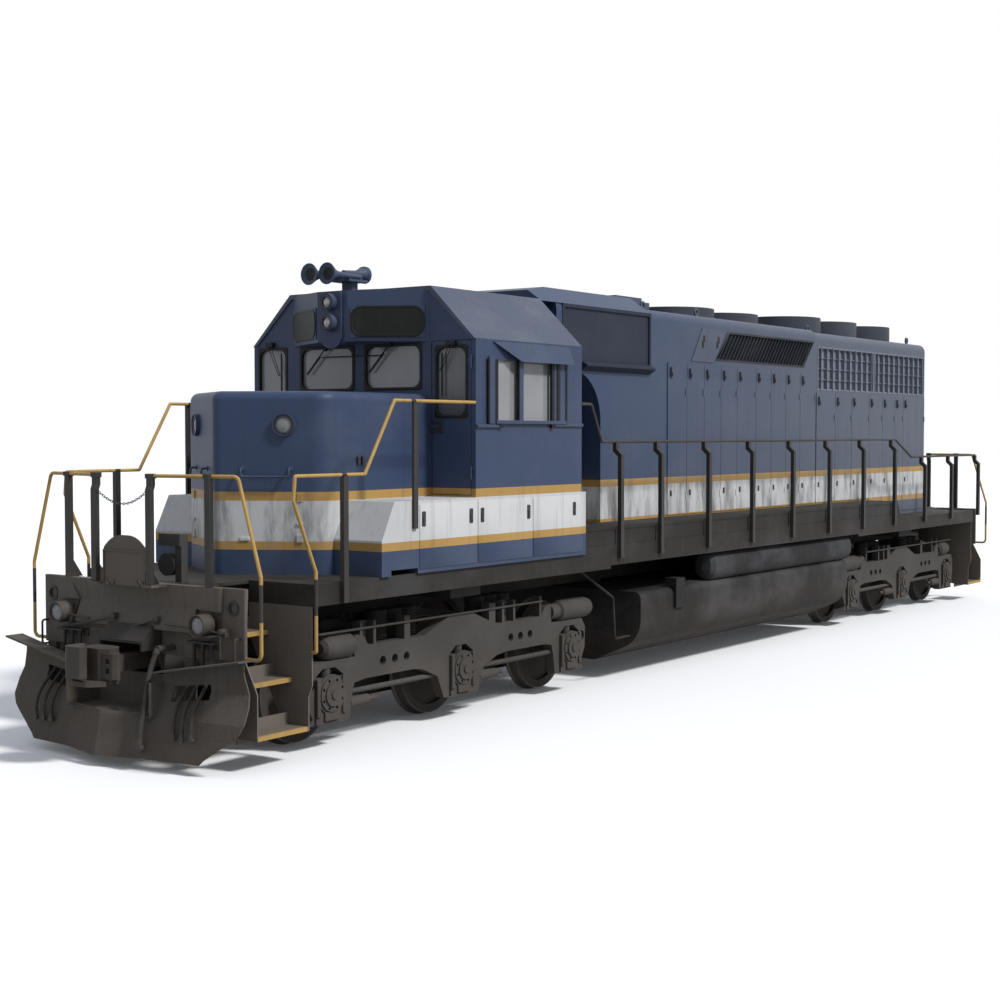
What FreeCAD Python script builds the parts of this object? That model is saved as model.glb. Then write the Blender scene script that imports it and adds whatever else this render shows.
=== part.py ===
"""Six-axle diesel-electric road locomotive with a low short hood.

Millimetres. +X is the front (short hood first), +Y the left side, +Z up.
The origin is midway between the bogie pivots, at the foot of the wheel flanges.
"""
import FreeCAD, Part
import math
import os

V = FreeCAD.Vector

# ---------------------------------------------------------------- driving dimensions
# Running gear
gauge = 1435.0
tread_radius = 508.0
flange_depth = 28.0
flange_width = 32.0
rim_width = 140.0
rim_depth = 90.0
web_thickness = 28.0
hub_radius = 130.0
axle_radius = 95.0
journal_radius = 75.0
axle_spacing = 2070.0
bogie_spacing = 12192.0
running_clearance = 8.0

# Main frame
frame_length = 18800.0
frame_half_width = 1530.0
deck_top = 1626.0
deck_plate = 32.0
sill_depth = 203.0
sill_depth_mid = 165.0
sill_thickness = 40.0
walkway_rise = 286.0
walkway_plate = 20.0
walkway_rear = -5140.0
walkway_ramp = 190.0
centre_sill_width = 760.0
centre_sill_bottom = 1130.0
end_plate_thickness = 40.0
end_plate_half_width = 1341.0
end_plate_bottom = 980.0
bumper_depth = 55.0
bumper_half_width = 1085.0
bumper_foot = 1427.0
platform_reach = 240.0
platform_half_width = 430.0
platform_plate = 20.0
plough_half_width = 1550.0
plough_plate = 16.0
plough_sweep = 0.105

# Stairs at the four corners
stair_width = 660.0
stair_bottom = 298.0
stair_side_plate = 14.0
stair_inset = 75.0
tread_thickness = 40.0
tread_heights = (327.0, 762.0, 1176.0)
tread_insets = (0.0, 192.0, 492.0)
tread_depth = 250.0

# Cab
cab_front = 6280.0
cab_rear = 4280.0
cab_overhang = 30.0
cab_wall = 60.0
cab_floor = 2338.0
cab_eave = 3968.0
cab_roof_top = 4529.0
cab_roof_half_width = 989.0
cab_roof_plate = 50.0
pane = 8.0

# Equipment box under the cab and along the short hood
box_front = 7780.0
box_slope_run = 190.0
box_slope_bottom = 1968.0

# Short hood
nose_tip = 8440.0
nose_shoulder = 7870.0
nose_half_width = 960.0
nose_top = 3405.0
nose_edge_radius = 90.0
nose_corner_radius = 260.0
nose_tip_radius = 120.0

# Long hood
hood_half_width = 945.0
hood_front = 2900.0
hood_overhang = 970.0
hood_joint = -3270.0
hood_rear = -7800.0
hood_top = 4578.0
radiator_top = 4548.0
hood_corner_radius = 130.0
hood_wall = 60.0
neck_half_width = 640.0
neck_top = 4460.0
duct_rise = 150.0
duct_foot_drop = 58.0
duct_rear = 1700.0
door_thickness = 12.0
door_gap = 8.0

# Fans on the roof
fan_radius = 660.0
fan_shell = 14.0
fan_blade_clearance = 22.0
fan_blades = 8
brake_fan_top = 4735.0
radiator_fan_top = 4815.0
brake_fan_places = (-370.0, -1730.0)
radiator_fan_places = (-3930.0, -5345.0, -6760.0)

# Handrails
rail_radius = 17.0
rail_setback = 20.0
end_rail_height = 2612.0
end_post_side = 945.0
gate_post_side = 368.0
gate_post_reach = 200.0
post_width = 64.0
post_thickness = 50.0

# Couplers
coupler_height = 904.0
coupler_reach = 780.0
pin_setback = 170.0
coupler_shank = 150.0
draft_box_half_width = 300.0
pin_radius = 45.0

# Fuel tank and reservoirs
tank_front = 2780.0
tank_rear = -3360.0
tank_half_width = 1450.0
tank_top = 1078.0
tank_bottom = 208.0
tank_turn_in = 498.0
tank_bottom_half_width = 800.0
reservoir_radius = 158.0
reservoir_stretch = 70.0
reservoir_front = 1020.0
reservoir_rear = -3500.0
reservoir_side = 1330.0

# Bogies
side_frame_side = 1120.0
side_frame_thickness = 110.0

axle_height = tread_radius + flange_depth
back_to_back = gauge - 2 * flange_width - 11.0
end_plate_face = frame_length / 2
stair_back = end_plate_face - end_plate_thickness - stair_width
# the plough's nose on the centre line, and the corner where its wings begin
plough_nose = end_plate_face + 554
plough_shoulder = end_plate_face + 400
plough_corner = 567.0
coupler_face = end_plate_face + coupler_reach
coupler_pin = end_plate_face - pin_setback
cab_half_width = frame_half_width + cab_overhang
stair_outer = frame_half_width - stair_inset
tread_edges = tuple(stair_outer - inset for inset in tread_insets)
sill_bottom = deck_top - sill_depth
walkway_top = deck_top + walkway_rise
walkway_front = cab_rear - 90.3
rail_height = end_rail_height + walkway_rise
duct_foot = hood_top - duct_foot_drop
cab_window_bottom = 3128.0
cab_window_top = 3758.0


# ---------------------------------------------------------------- helpers
def box(x0, x1, y0, y1, z0, z1):
    """A block between two corners, given in any order."""
    low = V(min(x0, x1), min(y0, y1), min(z0, z1))
    return Part.makeBox(abs(x1 - x0), abs(y1 - y0), abs(z1 - z0), low)


def placed(axis, u, v, w):
    """The point whose in-plane coordinates are u, v and whose place along axis is w."""
    return {"X": V(w, u, v), "Y": V(u, w, v), "Z": V(u, v, w)}[axis]


def prism(points, axis, start, end):
    """A straight prism: points are (Y, Z), (X, Z) or (X, Y) for axis X, Y or Z."""
    corners = [placed(axis, u, v, start) for u, v in points]
    face = Part.Face(Part.makePolygon(corners + corners[:1]))
    return face.extrude(placed(axis, 0, 0, end) - placed(axis, 0, 0, start))


def rod(radius, start, end):
    """A round bar between two points."""
    start, end = V(*start), V(*end)
    return Part.makeCylinder(radius, (end - start).Length, start, end - start)


def rounded_path(points, radius):
    """A wire of straight runs with tangent arcs of the given radius at the corners."""
    points = [V(*p) for p in points]
    edges, here = [], points[0]
    for before, corner, after in zip(points, points[1:], points[2:]):
        inward = (before - corner).normalize()
        outward = (after - corner).normalize()
        half = inward.getAngle(outward) / 2
        reach = radius / math.tan(half)
        start, end = corner + inward * reach, corner + outward * reach
        bisector = (inward + outward).normalize()
        middle = corner + bisector * (radius / math.sin(half) - radius)
        edges.append(Part.LineSegment(here, start).toShape())
        edges.append(Part.Arc(start, middle, end).toShape())
        here = end
    edges.append(Part.LineSegment(here, points[-1]).toShape())
    return Part.Wire(edges)


def bent_rod(points, radius, bend):
    """A round bar along a bent path."""
    path = rounded_path(points, bend)
    start, onward = V(*points[0]), V(*points[1]) - V(*points[0])
    ring = Part.Wire(Part.makeCircle(radius, start, onward))
    return path.makePipeShell([ring], True, True)


def rounded_prism(points, radii, axis, start, end):
    """A prism whose outline has a tangent arc of its own radius at each corner (0 is sharp)."""
    corners = [placed(axis, u, v, start) for u, v in points]
    count = len(corners)
    edges, first, here = [], None, None
    for i, corner in enumerate(corners):
        inward = (corners[i - 1] - corner).normalize()
        outward = (corners[(i + 1) % count] - corner).normalize()
        if radii[i]:
            half = inward.getAngle(outward) / 2
            reach = radii[i] / math.tan(half)
            a, b = corner + inward * reach, corner + outward * reach
            middle = corner + (inward + outward).normalize() * (radii[i] / math.sin(half) - radii[i])
        else:
            a = b = corner
        if here is not None and (a - here).Length > 1e-6:
            edges.append(Part.LineSegment(here, a).toShape())
        if radii[i]:
            edges.append(Part.Arc(a, middle, b).toShape())
        first = a if first is None else first
        here = b
    if (first - here).Length > 1e-6:
        edges.append(Part.LineSegment(here, first).toShape())
    face = Part.Face(Part.Wire(edges))
    return face.extrude(placed(axis, 0, 0, end) - placed(axis, 0, 0, start))


def revolved(profile, centre, axis):
    """A turned part from (along, radius) pairs about an axis through centre."""
    centre, axis = V(*centre), V(*axis)
    side = V(0, 0, 1) if abs(axis.z) < 0.5 else V(1, 0, 0)
    corners = [centre + axis * a + side * r for a, r in profile]
    face = Part.Face(Part.makePolygon(corners + corners[:1]))
    return face.revolve(centre, axis, 360)


def fuse(pieces):
    """One solid from pieces that touch or overlap."""
    pieces = list(pieces)
    whole = pieces[0].multiFuse(pieces[1:]) if len(pieces) > 1 else pieces[0]
    return whole.removeSplitter()


def cut(shape, tools):
    """The shape less every tool."""
    tools = list(tools)
    return shape.cut(tools) if tools else shape


def mirrored(shape, normal):
    """The shape's mirror image in the plane through the origin with that normal."""
    return shape.mirror(V(0, 0, 0), V(*normal))


def both_sides(shape):
    """A left-hand piece and its right-hand twin."""
    return [shape, mirrored(shape, (0, 1, 0))]


def both_ends(shape):
    """A front piece and its twin turned half round, at the rear."""
    twin = shape.copy()
    twin.rotate(V(0, 0, 0), V(0, 0, 1), 180)
    return [shape, twin]


def solids(shapes):
    """All the solids in shapes, as one compound."""
    found = [s for shape in shapes for s in shape.Solids]
    return found[0] if len(found) == 1 else Part.makeCompound(found)


# ---------------------------------------------------------------- main frame
panel_depth = 10.0
sill_step = 3600.0
crossbearer_places = (8300.0, 3000.0, 600.0, -1800.0, -3300.0, -8300.0)
# columns: place along the left side, height of the post's top
walkway_posts = ((3420.0, rail_height), (2480.0, rail_height), (1260.0, rail_height), (30.0, rail_height),
                 (-1220.0, rail_height), (-2460.0, rail_height), (-3710.0, rail_height),
                 (-4960.0, rail_height), (-6280.0, end_rail_height), (-7520.0, end_rail_height))


def underframe():
    """Deck plate, raised walkways, side sills, centre sill and the two bolsters."""
    inner = end_plate_face - end_plate_thickness
    deck = box(-inner, inner, -frame_half_width, frame_half_width, deck_top - deck_plate, deck_top)
    mid = deck_top - sill_depth_mid
    step, end = sill_step, stair_back
    outline = [(-end, sill_bottom), (-step, sill_bottom), (-step, mid), (step, mid),
               (step, sill_bottom), (end, sill_bottom), (end, deck_top - deck_plate),
               (-end, deck_top - deck_plate)]
    sill = prism(outline, "Y", frame_half_width - sill_thickness, frame_half_width)
    half = centre_sill_width / 2
    bolster_low = side_bearing_top()
    fish = [(-inner, 1250.0), (-8450.0, 1250.0), (-8250.0, centre_sill_bottom),
            (8250.0, centre_sill_bottom), (8450.0, 1250.0), (inner, 1250.0),
            (inner, deck_top - deck_plate), (-inner, deck_top - deck_plate)]
    centre = prism(fish, "Y", -half, half)
    parts = [deck, centre] + both_sides(sill)
    for x in (bogie_spacing / 2, -bogie_spacing / 2):
        parts.append(box(x - 260, x + 260, -1290, 1290, bolster_low, deck_top - deck_plate))
        parts.append(rod(230, (x, 0, pivot_seat()), (x, 0, 1260)))
    head = box(end - stair_side_plate, end, tread_edges[2] - tread_depth, frame_half_width, sill_bottom,
               deck_top)
    parts += both_sides(head) + both_sides(mirrored(head, (1, 0, 0)))
    parts += both_sides(walkway())
    for x in crossbearer_places:
        parts.append(box(x - 60, x + 60, -frame_half_width + 20, frame_half_width - 20,
                         mid + 10, deck_top - deck_plate))
    wells = []
    for sx in (1, -1):
        for sy in (1, -1):
            wells.append(box(sx * stair_back, sx * (inner + 1),
                             sy * (tread_edges[2] - tread_depth), sy * (frame_half_width + 1),
                             0, deck_top + 1))
    return cut(fuse(parts), wells)


def walkway():
    """The raised walkway beside the long hood: top and side plates, with panels pressed between the posts."""
    rear, front = walkway_rear, walkway_front
    outline = [(rear - walkway_ramp, deck_top), (front, deck_top), (front, walkway_top), (rear, walkway_top)]
    block = prism(outline, "Y", hood_half_width + 0.3, frame_half_width)
    filler = box(hood_front + 0.3, front, neck_half_width + 0.3, hood_half_width + 1, deck_top, walkway_top)
    hollow = box(rear, front - walkway_plate, hood_half_width, frame_half_width - walkway_plate - panel_depth,
                 deck_top - 1, walkway_top - walkway_plate)
    places = [x for x, top in walkway_posts if x > rear]
    panels = [box(after + 75, before - 75, frame_half_width - panel_depth, frame_half_width + 1,
                  walkway_top - 215, walkway_top - 35)
              for before, after in zip([front] + places, places)]
    return cut(fuse([cut(block, [hollow]), filler]), panels)


def pivot_seat():
    """Height at which the body's centre plate sits on the bogie bolster."""
    return 1000.0


def side_bearing_top():
    """Height of the underside of the body bolster."""
    return 1290.0


def end_plate():
    """Front plate with its bumper, the walkover platform and a hole for the draft box."""
    face, back = end_plate_face, end_plate_face - end_plate_thickness
    front = face + bumper_depth
    plate = box(back, face, -end_plate_half_width, end_plate_half_width, end_plate_bottom, deck_top)
    upper = prism([(face - 5, deck_top), (front, deck_top), (front - 27, bumper_foot), (face - 5, bumper_foot)],
                  "Y", -bumper_half_width + 160, bumper_half_width - 160)
    flare = prism([(face - 5, bumper_foot), (front - 27, bumper_foot), (front + 48, 1245), (front + 48, 1215),
                   (face - 5, 1215)], "Y", -bumper_half_width + 306, bumper_half_width - 306)
    corner = prism([(bumper_half_width - 166, deck_top), (bumper_half_width, deck_top),
                    (bumper_half_width + 6, bumper_foot - 13), (bumper_half_width - 306, bumper_foot)],
                   "X", face - 5, front - 2)
    platform = box(face - 5, face + platform_reach, -platform_half_width, platform_half_width,
                   deck_top - platform_plate, deck_top)
    platform = cut(platform, [box(plate_hinge_x - lug_radius - 1, face + platform_reach + 1,
                                  -drop_plate_half_width - 10, drop_plate_half_width + 10,
                                  deck_top - platform_plate - 1, deck_top + 1)])
    hole = box(back - 1, front + 60, -draft_box_half_width, draft_box_half_width, end_plate_bottom - 1, 1250)
    whole = fuse([plate, upper, flare, platform] + both_sides(corner) + [plate_lug(y) for y in hinge_places])
    recess = [rod(58, (face - 12, y, 1453), (face + 20, y, 1453)) for y in (-1214, 1214)]
    return cut(whole, [hole] + recess)


def stairs():
    """One corner stair: two side plates, three treads and their kick plates."""
    front = end_plate_face - end_plate_thickness - 0.3
    rear = stair_back - stair_side_plate
    inner = tread_edges[2] - tread_depth + 0.3
    step_back = stair_outer - tread_depth - 60
    low = [(stair_outer, stair_bottom), (step_back, stair_bottom), (inner, tread_heights[2] - 60), (inner, deck_top)]
    cut_back = [(end_plate_half_width, deck_top), (end_plate_half_width - 30, 980), (stair_outer, 700)]
    head = sill_bottom - 0.3
    full = [(inner, head), (stair_outer + 45, head), (stair_outer + 45, 700), (stair_outer, 600)]
    pieces = [prism(cut_back + low, "X", front - stair_side_plate, front),
              prism(full + low[:-1], "X", rear, stair_back)]
    for height, edge in zip(tread_heights, tread_edges):
        back = edge - tread_depth
        pieces.append(box(rear, front, back, edge, height - tread_thickness, height))
        pieces.append(box(rear, front, back - 8, back, height - 90, height + 110))
    return fuse(pieces)


def blade_side(y):
    """The plough blade's section, one (X, Z) pair a corner, in the upright plane at y."""
    if y <= plough_corner:
        foot = plough_nose - (plough_nose - plough_shoulder) * y / plough_corner
    else:
        foot = plough_shoulder - plough_sweep * (y - plough_corner)
    # columns: distance behind the blade's foot, height
    section = [(0, 100), (20, 200), (47, 318), (75, 470), (130, 600), (180, 730), (172, 906), (160, 1060)]
    front = [(foot - behind, height) for behind, height in section]
    return front + [(x - plough_plate, height) for x, height in reversed(front)]


def blade_run(y0, y1):
    """The blade between two places along Y, as a straight sweep of its section."""
    corners = [V(x, y0, z) for x, z in blade_side(y0)]
    face = Part.Face(Part.makePolygon(corners + corners[:1]))
    return face.extrude(V(blade_side(y1)[0][0] - blade_side(y0)[0][0], y1 - y0, 0))


def snow_plough():
    """Vee-shaped blade of one hollow-faced section, its top lip, back plate and braces."""
    back = end_plate_face
    outer = plough_half_width
    wing = fuse([blade_run(0, plough_corner), blade_run(plough_corner, outer)])
    edge = [(outer - 480, 60), (outer - 400, 140), (outer - 250, 245), (outer - 140, 315), (outer - 50, 385),
            (outer - 5, 480), (outer - 5, 620), (outer - 39, 742), (outer - 80, 880), (outer - 110, 1100)]
    trim = prism(edge + [(outer + 100, 1100), (outer + 100, 60)], "X", back - 200, back + 1200)
    rise = [(plough_corner, 862), (outer + 20, 1026)]
    over = prism([(-1, 862)] + rise + [(outer + 20, 1400), (-1, 1400)], "X", back - 200, back + 1200)
    wing = cut(wing, [trim, over])
    plan = [(plough_shoulder - 200, plough_corner), (plough_shoulder - 27, plough_corner),
            (plough_shoulder - 100, outer + 20), (plough_shoulder - 300, outer + 20)]
    lip = prism(plan, "Z", 800, 1100).common(prism(rise + [(y, z + plough_plate) for y, z in reversed(rise)],
                                                   "X", back - 200, back + 1200))
    braces = []
    for y in (650, 1250):
        reach = blade_side(y)[0][0] - plough_plate / 2
        outline = [(back - 5, 480), (reach - 80, 480), (reach - 130, 600), (reach - 180, 730), (back - 5, 760)]
        braces.append(prism(outline, "Y", y - 8, y + 8))
        braces.append(box(back - end_plate_thickness, back, y - 60, y + 60, 480, end_plate_bottom - 0.3))
    cross = box(back - 5, back + 11, -1090, 1090, 480, 790)
    return cut(fuse(both_sides(fuse([wing, lip] + braces)) + [cross]), plough_openings(back))


def plough_openings(back):
    """What is cut from the plough: the coupler's gap and the two hose slots."""
    ahead = back + 1200
    gap = [(-plough_corner, 1400), (-plough_corner, 862), (-540, 498), (540, 498), (plough_corner, 862),
           (plough_corner, 1400)]
    tools = [prism(gap, "X", back + 60, ahead)]
    for side in (1, -1):
        tools.append(prism([(side * 680, 610), (side * 1100, 654), (side * 1100, 790), (side * 680, 745)],
                           "X", back + 20, ahead))
        tools.append(box(back - 10, back + 12, side * 700, side * 1070, 600, 800))
    return tools


# ---------------------------------------------------------------- body
def nose_hood():
    """Low short hood, wedge-shaped in plan with rounded corners and top edge."""
    plan = [(cab_front, -nose_half_width), (nose_shoulder, -nose_half_width), (nose_tip, 0),
            (nose_shoulder, nose_half_width), (cab_front, nose_half_width)]
    radii = [0, nose_corner_radius, nose_tip_radius, nose_corner_radius, 0]
    hood = rounded_prism(plan, radii, "Z", deck_top, nose_top)
    top_edges = [e for e in hood.Edges
                 if min(v.Z for v in e.Vertexes) > nose_top - 1 and max(v.X for v in e.Vertexes) > cab_front + 1
                 and not all(abs(v.X - cab_front) < 1 for v in e.Vertexes)]
    return hood.makeFillet(nose_edge_radius, top_edges)


def side_box():
    """The equipment boxes that run under the cab and beside the short hood."""
    inner = nose_half_width + 0.3
    outline = [(cab_rear - 90, deck_top), (7230, deck_top), (7230, deck_top + 55), (7640, deck_top + 55),
               (7640, deck_top), (box_front, deck_top), (box_front, box_slope_bottom),
               (box_front - box_slope_run, cab_floor), (cab_rear - 90, cab_floor)]
    left = prism(outline, "Y", inner, cab_half_width)
    middle = box(cab_rear - 90, cab_front - 0.3, -inner, inner, deck_top, cab_floor)
    stair_hole = box(cab_rear - 91, cab_rear + 700, -door_outer - 20, -inner - 30, rear_door_bottom - 10,
                     cab_floor + 1)
    return cut(fuse(both_sides(left) + [middle]), [stair_hole])


def cab_section(grow):
    """Cab outline in Y, Z, drawn in by grow."""
    eave = cab_eave - 0.45 * grow
    return [(-cab_half_width + grow, cab_floor), (cab_half_width - grow, cab_floor),
            (cab_half_width - grow, eave), (cab_roof_half_width - 0.6 * grow, cab_roof_top - grow),
            (-cab_roof_half_width + 0.6 * grow, cab_roof_top - grow), (-cab_half_width + grow, eave)]


# columns: name, inner Y, outer Y, bottom, top of the openings in the cab's front wall
front_openings = (
    ("centre left", 85.0, 845.0, 3468.0, 3928.0),
    ("centre right", -845.0, -85.0, 3468.0, 3928.0),
    ("right", -1480.0, -1065.0, 3168.0, 3938.0),
)
door_width = 520.0
door_inner = 985.0
door_outer = door_inner + door_width
door_bottom = cab_floor + 20.0
door_top = 3955.0
rear_door_bottom = walkway_top + 20.0
door_leaf = 45.0
door_play = 6.0
latch_play = 12.0
# columns: ahead of the cab wall and outboard of the door opening, of the hinge axis
hinge_ahead, hinge_aside = 14.0, 4.0
barrel_radius, barrel_pin = 10.0, 5.0
hinge_heights = (2560.0, 3700.0)


def side_window(y0, y1):
    """The tool that cuts a side window."""
    return box(cab_rear + 370, cab_front - 340, y0, y1, cab_window_bottom, cab_window_top)


def cab_body():
    """Cab walls, gable ends included, with window and door openings."""
    outer = prism(cab_section(0), "X", cab_rear, cab_front)
    inner = prism(cab_section(cab_wall), "X", cab_rear + cab_wall, cab_front - cab_wall)
    lift = box(cab_rear + cab_wall, cab_front - cab_wall, -cab_half_width + cab_wall, cab_half_width - cab_wall,
               cab_floor - 1, cab_floor + 100)
    roof = prism(roof_section(), "X", cab_rear - 1, cab_front + 1)
    walls = cut(outer, [inner, lift, roof])
    tools = [side_window(cab_half_width - 100, cab_half_width + 1),
             side_window(-cab_half_width - 1, -cab_half_width + 100)]
    for _, y0, y1, z0, z1 in front_openings:
        tools.append(box(cab_front - cab_wall - 1, cab_front + 1, y0, y1, z0, z1))
    tools.append(box(cab_front - cab_wall - 1, cab_front + 1, door_inner, door_outer, door_bottom, door_top))
    tools.append(box(cab_rear - 1, cab_rear + cab_wall + 1, -door_outer, -door_inner, cab_floor - 1, door_top))
    tools.append(box(cab_rear - 1, cab_rear + cab_wall + 1, door_inner + 60, door_outer - 60, 3168, 3880))
    hinges = [move(jamb_hinge(z)) for z in hinge_heights for move in (front_placed, rear_placed)]
    return fuse([cut(walls, tools)] + hinges)


def roof_section():
    """Closed outline of the roof panel: flat top and two chamfers."""
    low = cab_roof_plate
    return [(cab_half_width + 2, cab_eave), (cab_roof_half_width, cab_roof_top + 2),
            (-cab_roof_half_width, cab_roof_top + 2), (-cab_half_width - 2, cab_eave),
            (-cab_half_width + low, cab_eave), (-cab_roof_half_width + 0.4 * low, cab_roof_top - low),
            (cab_roof_half_width - 0.4 * low, cab_roof_top - low), (cab_half_width - low, cab_eave)]


def cab_roof():
    """Roof panel over the cab, flush with its gables."""
    outer = prism(cab_section(0), "X", cab_rear, cab_front + 20)
    return outer.common(prism(roof_section(), "X", cab_rear, cab_front + 20))


def window_panes():
    """Fixed glass, each pane set back in its opening, with the side windows' centre posts."""
    panes = []
    for side in (1, -1):
        y = side * (cab_half_width - 30)
        panes.append(side_window(y, y - side * pane))
    x = cab_front - 30
    for _, y0, y1, z0, z1 in front_openings:
        panes.append(box(x - pane, x, y0, y1, z0, z1))
    panes.append(box(cab_rear + 30, cab_rear + 30 + pane, door_inner + 60, door_outer - 60, 3168, 3880))
    return solids(panes)


def door(width, bottom, top, window):
    """A cab door leaf in the YZ plane, hinge edge at y = 0, reaching to y = -width."""
    leaf = box(-door_leaf, 0, -width + latch_play, -door_play, bottom + door_play, top - door_play)
    low, high = window
    light = box(-door_leaf - 1, 1, -width + 65, -60, low, high)
    glass = box(-door_leaf / 2 - pane / 2, -door_leaf / 2 + pane / 2, -width + 65, -60, low, high)
    bores = [rod(barrel_pin + 0.3, (hinge_ahead, hinge_aside, z - 1), (hinge_ahead, hinge_aside, z + 61))
             for z in hinge_heights]
    barrels = [fuse([rod(barrel_radius, (hinge_ahead, hinge_aside, z), (hinge_ahead, hinge_aside, z + 60)),
                     box(3, 9, -40, hinge_aside, z, z + 60), box(-1, 9, -40, -20, z, z + 60)])
               for z in hinge_heights]
    handle = fuse([box(-1, 50, -width + 22, -width + 40, bottom + 700, bottom + 718),
                   box(40, 50, -width + 22, -width + 130, bottom + 700, bottom + 718)])
    return cut(fuse([cut(leaf, [light]), handle, glass] + barrels), bores)


def jamb_hinge(z):
    """The cab's half of a door hinge, beside a leaf whose hinge edge is at y = 0."""
    pieces = [rod(barrel_pin, (hinge_ahead, hinge_aside, z - 30), (hinge_ahead, hinge_aside, z + 90))]
    for low, high in ((z - 40, z - 0.3), (z + 60.3, z + 100)):
        pieces.append(rod(barrel_radius, (hinge_ahead, hinge_aside, low), (hinge_ahead, hinge_aside, high)))
        pieces.append(box(-1, 7, hinge_aside, 30, low, high))
    return fuse(pieces)


def front_placed(shape):
    """A door piece moved to the front door's hinge edge."""
    moved = shape.copy()
    moved.translate(V(cab_front, door_outer, 0))
    return moved


def rear_placed(shape):
    """A door piece turned about and moved to the rear door's hinge edge."""
    moved = shape.copy()
    moved.rotate(V(0, 0, 0), V(0, 0, 1), 180)
    moved.translate(V(cab_rear, -door_outer, 0))
    return moved


def front_door():
    """Front door on the left, hinged at its outer edge, opening forwards."""
    return front_placed(door(door_width, door_bottom, door_top, (3168, 3890)))


def rear_door():
    """Rear door on the right, hinged at its outer edge, opening backwards."""
    return rear_placed(door(door_width, rear_door_bottom, door_top, (3168, 3890)))


def number_board_housing():
    """Wedge over the front windows that carries two slanted boards and the headlight."""
    tip, flat = cab_front + 430, 210
    plan = [(cab_front, -950), (tip, -flat), (tip, flat), (cab_front, 950)]
    casing = prism(plan, "Z", 3958, 4515)
    slope = prism([(cab_front - 1, 4478.7), (cab_front + 20.3, 4478.7), (cab_front + 20.3, 4515),
                   (tip + 40, 4490), (tip + 40, 4600), (cab_front - 1, 4600)], "Y", -1000, 1000)
    run = V(-(tip - cab_front), 950 - flat, 0).normalize()
    out = V(run.y, -run.x, 0)
    start = V(tip, flat, 0) + run * 30
    corners = [start + V(0, 0, z) + run * s for s, z in ((0, 3998), (790, 3998), (790, 4328), (0, 4328))]
    board = Part.Face(Part.makePolygon(corners + corners[:1])).extrude(out * 14)
    boards = both_sides(board)
    return fuse([cut(casing, [slope])] + boards)


def headlight(centre, direction, radius, depth):
    """A lamp: a hooded can with a shallow lens set inside."""
    return revolved([(0, 0), (depth, 0), (depth, radius - 12), (depth + 25, radius - 10),
                     (depth + 25, radius), (0, radius)], centre, direction)


def lamps():
    """Twin headlight, marker lamps on the short hood and ditch lights over the front coupler."""
    front = cab_front + 430 + 0.3
    pod = rounded_prism([(-143, 4480), (-143, 3888), (143, 3888), (143, 4480)], [30, 130, 130, 30], "X",
                        front, front + 26)
    pieces = [fuse([pod] + [headlight((front + 20, 0, z), (1, 0, 0), 92, 60) for z in (4370, 4157)])]
    normal = V(nose_half_width, nose_tip - nose_shoulder, 0).normalize()
    along = V(nose_tip, 0, 3078) + V(-(nose_tip - nose_shoulder), nose_half_width, 0) * 0.62
    marker = headlight(tuple(along + normal * 0.3), tuple(normal), 110, 14)
    pieces += both_sides(marker)
    face = end_plate_face + 0.3
    for y in (-950, 950):
        bracket = [box(face, face + 150, y - 115, y + 115, 1196, 1206),
                   box(face, face + 10, y - 115, y + 115, 1196, 1396),
                   prism([(face + 1, 1396), (face + 150, 1196), (face + 1, 1196)], "Y",
                         y + math.copysign(105, -y), y + math.copysign(115, -y))]
        pieces.append(fuse(bracket + [headlight((face + 60, y, 1299), (1, 0, 0), 98, 115)]))
    return solids(pieces)


def sunshades():
    """Sloping shades over the side windows."""
    shades = []
    y = cab_half_width + 0.3
    outline = [(y, 3948), (y + 84, 3748), (y + 92, 3748), (y + 12, 3948)]
    front = cab_front - 310
    shade = prism(outline, "X", cab_rear + 280, front)
    nip = prism([(front - 410, 3740), (front + 20, 3740), (front + 20, 3950)], "Y", y - 1, y + 200)
    return solids(both_sides(cut(shade, [nip])))


def cab_fittings():
    """Control stand, three seats and their pedestals, seen through the windows."""
    floor = cab_floor
    rear, front, side = cab_front - 980, cab_front - 380, -cab_half_width + 260
    stand = fuse([box(rear, front, side, side + 350, floor, floor + 950),
                  prism([(rear, floor + 950), (front, floor + 950), (front, floor + 1150),
                         (rear + 260, floor + 1150)], "Y", side, side + 350)])
    seats = []
    for x, y in ((cab_rear + 670, -cab_half_width + 430), (cab_rear + 970, cab_half_width - 460)):
        seats.append(fuse([rod(60, (x, y, floor), (x, y, floor + 420)),
                           box(x - 230, x + 230, y - 220, y + 220, floor + 400, floor + 500),
                           box(x - 260, x - 180, y - 220, y + 220, floor + 400, floor + 1050)]))
    desk = box(cab_front - 530, cab_front - 180, 250, 800, floor, floor + 720)
    return solids([stand, desk] + seats)


# ---------------------------------------------------------------- long hood
def hood_shell(x0, x1, top):
    """Hood section in Y, Z with rounded roof corners, extruded from x0 to x1."""
    w = hood_half_width
    return rounded_prism([(-w, deck_top), (w, deck_top), (w, top), (-w, top)],
                         [0, 0, hood_corner_radius, hood_corner_radius], "X", x0, x1)


def duct_section(grow, lift):
    """Roof duct section in Y, Z: its sides lean in from the hood's edges to the neck's width."""
    foot, half, top = hood_half_width + grow, neck_half_width + grow, hood_top + duct_rise + lift
    return [(-foot, duct_foot - lift), (foot, duct_foot - lift), (half, top), (-half, top)]


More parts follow.
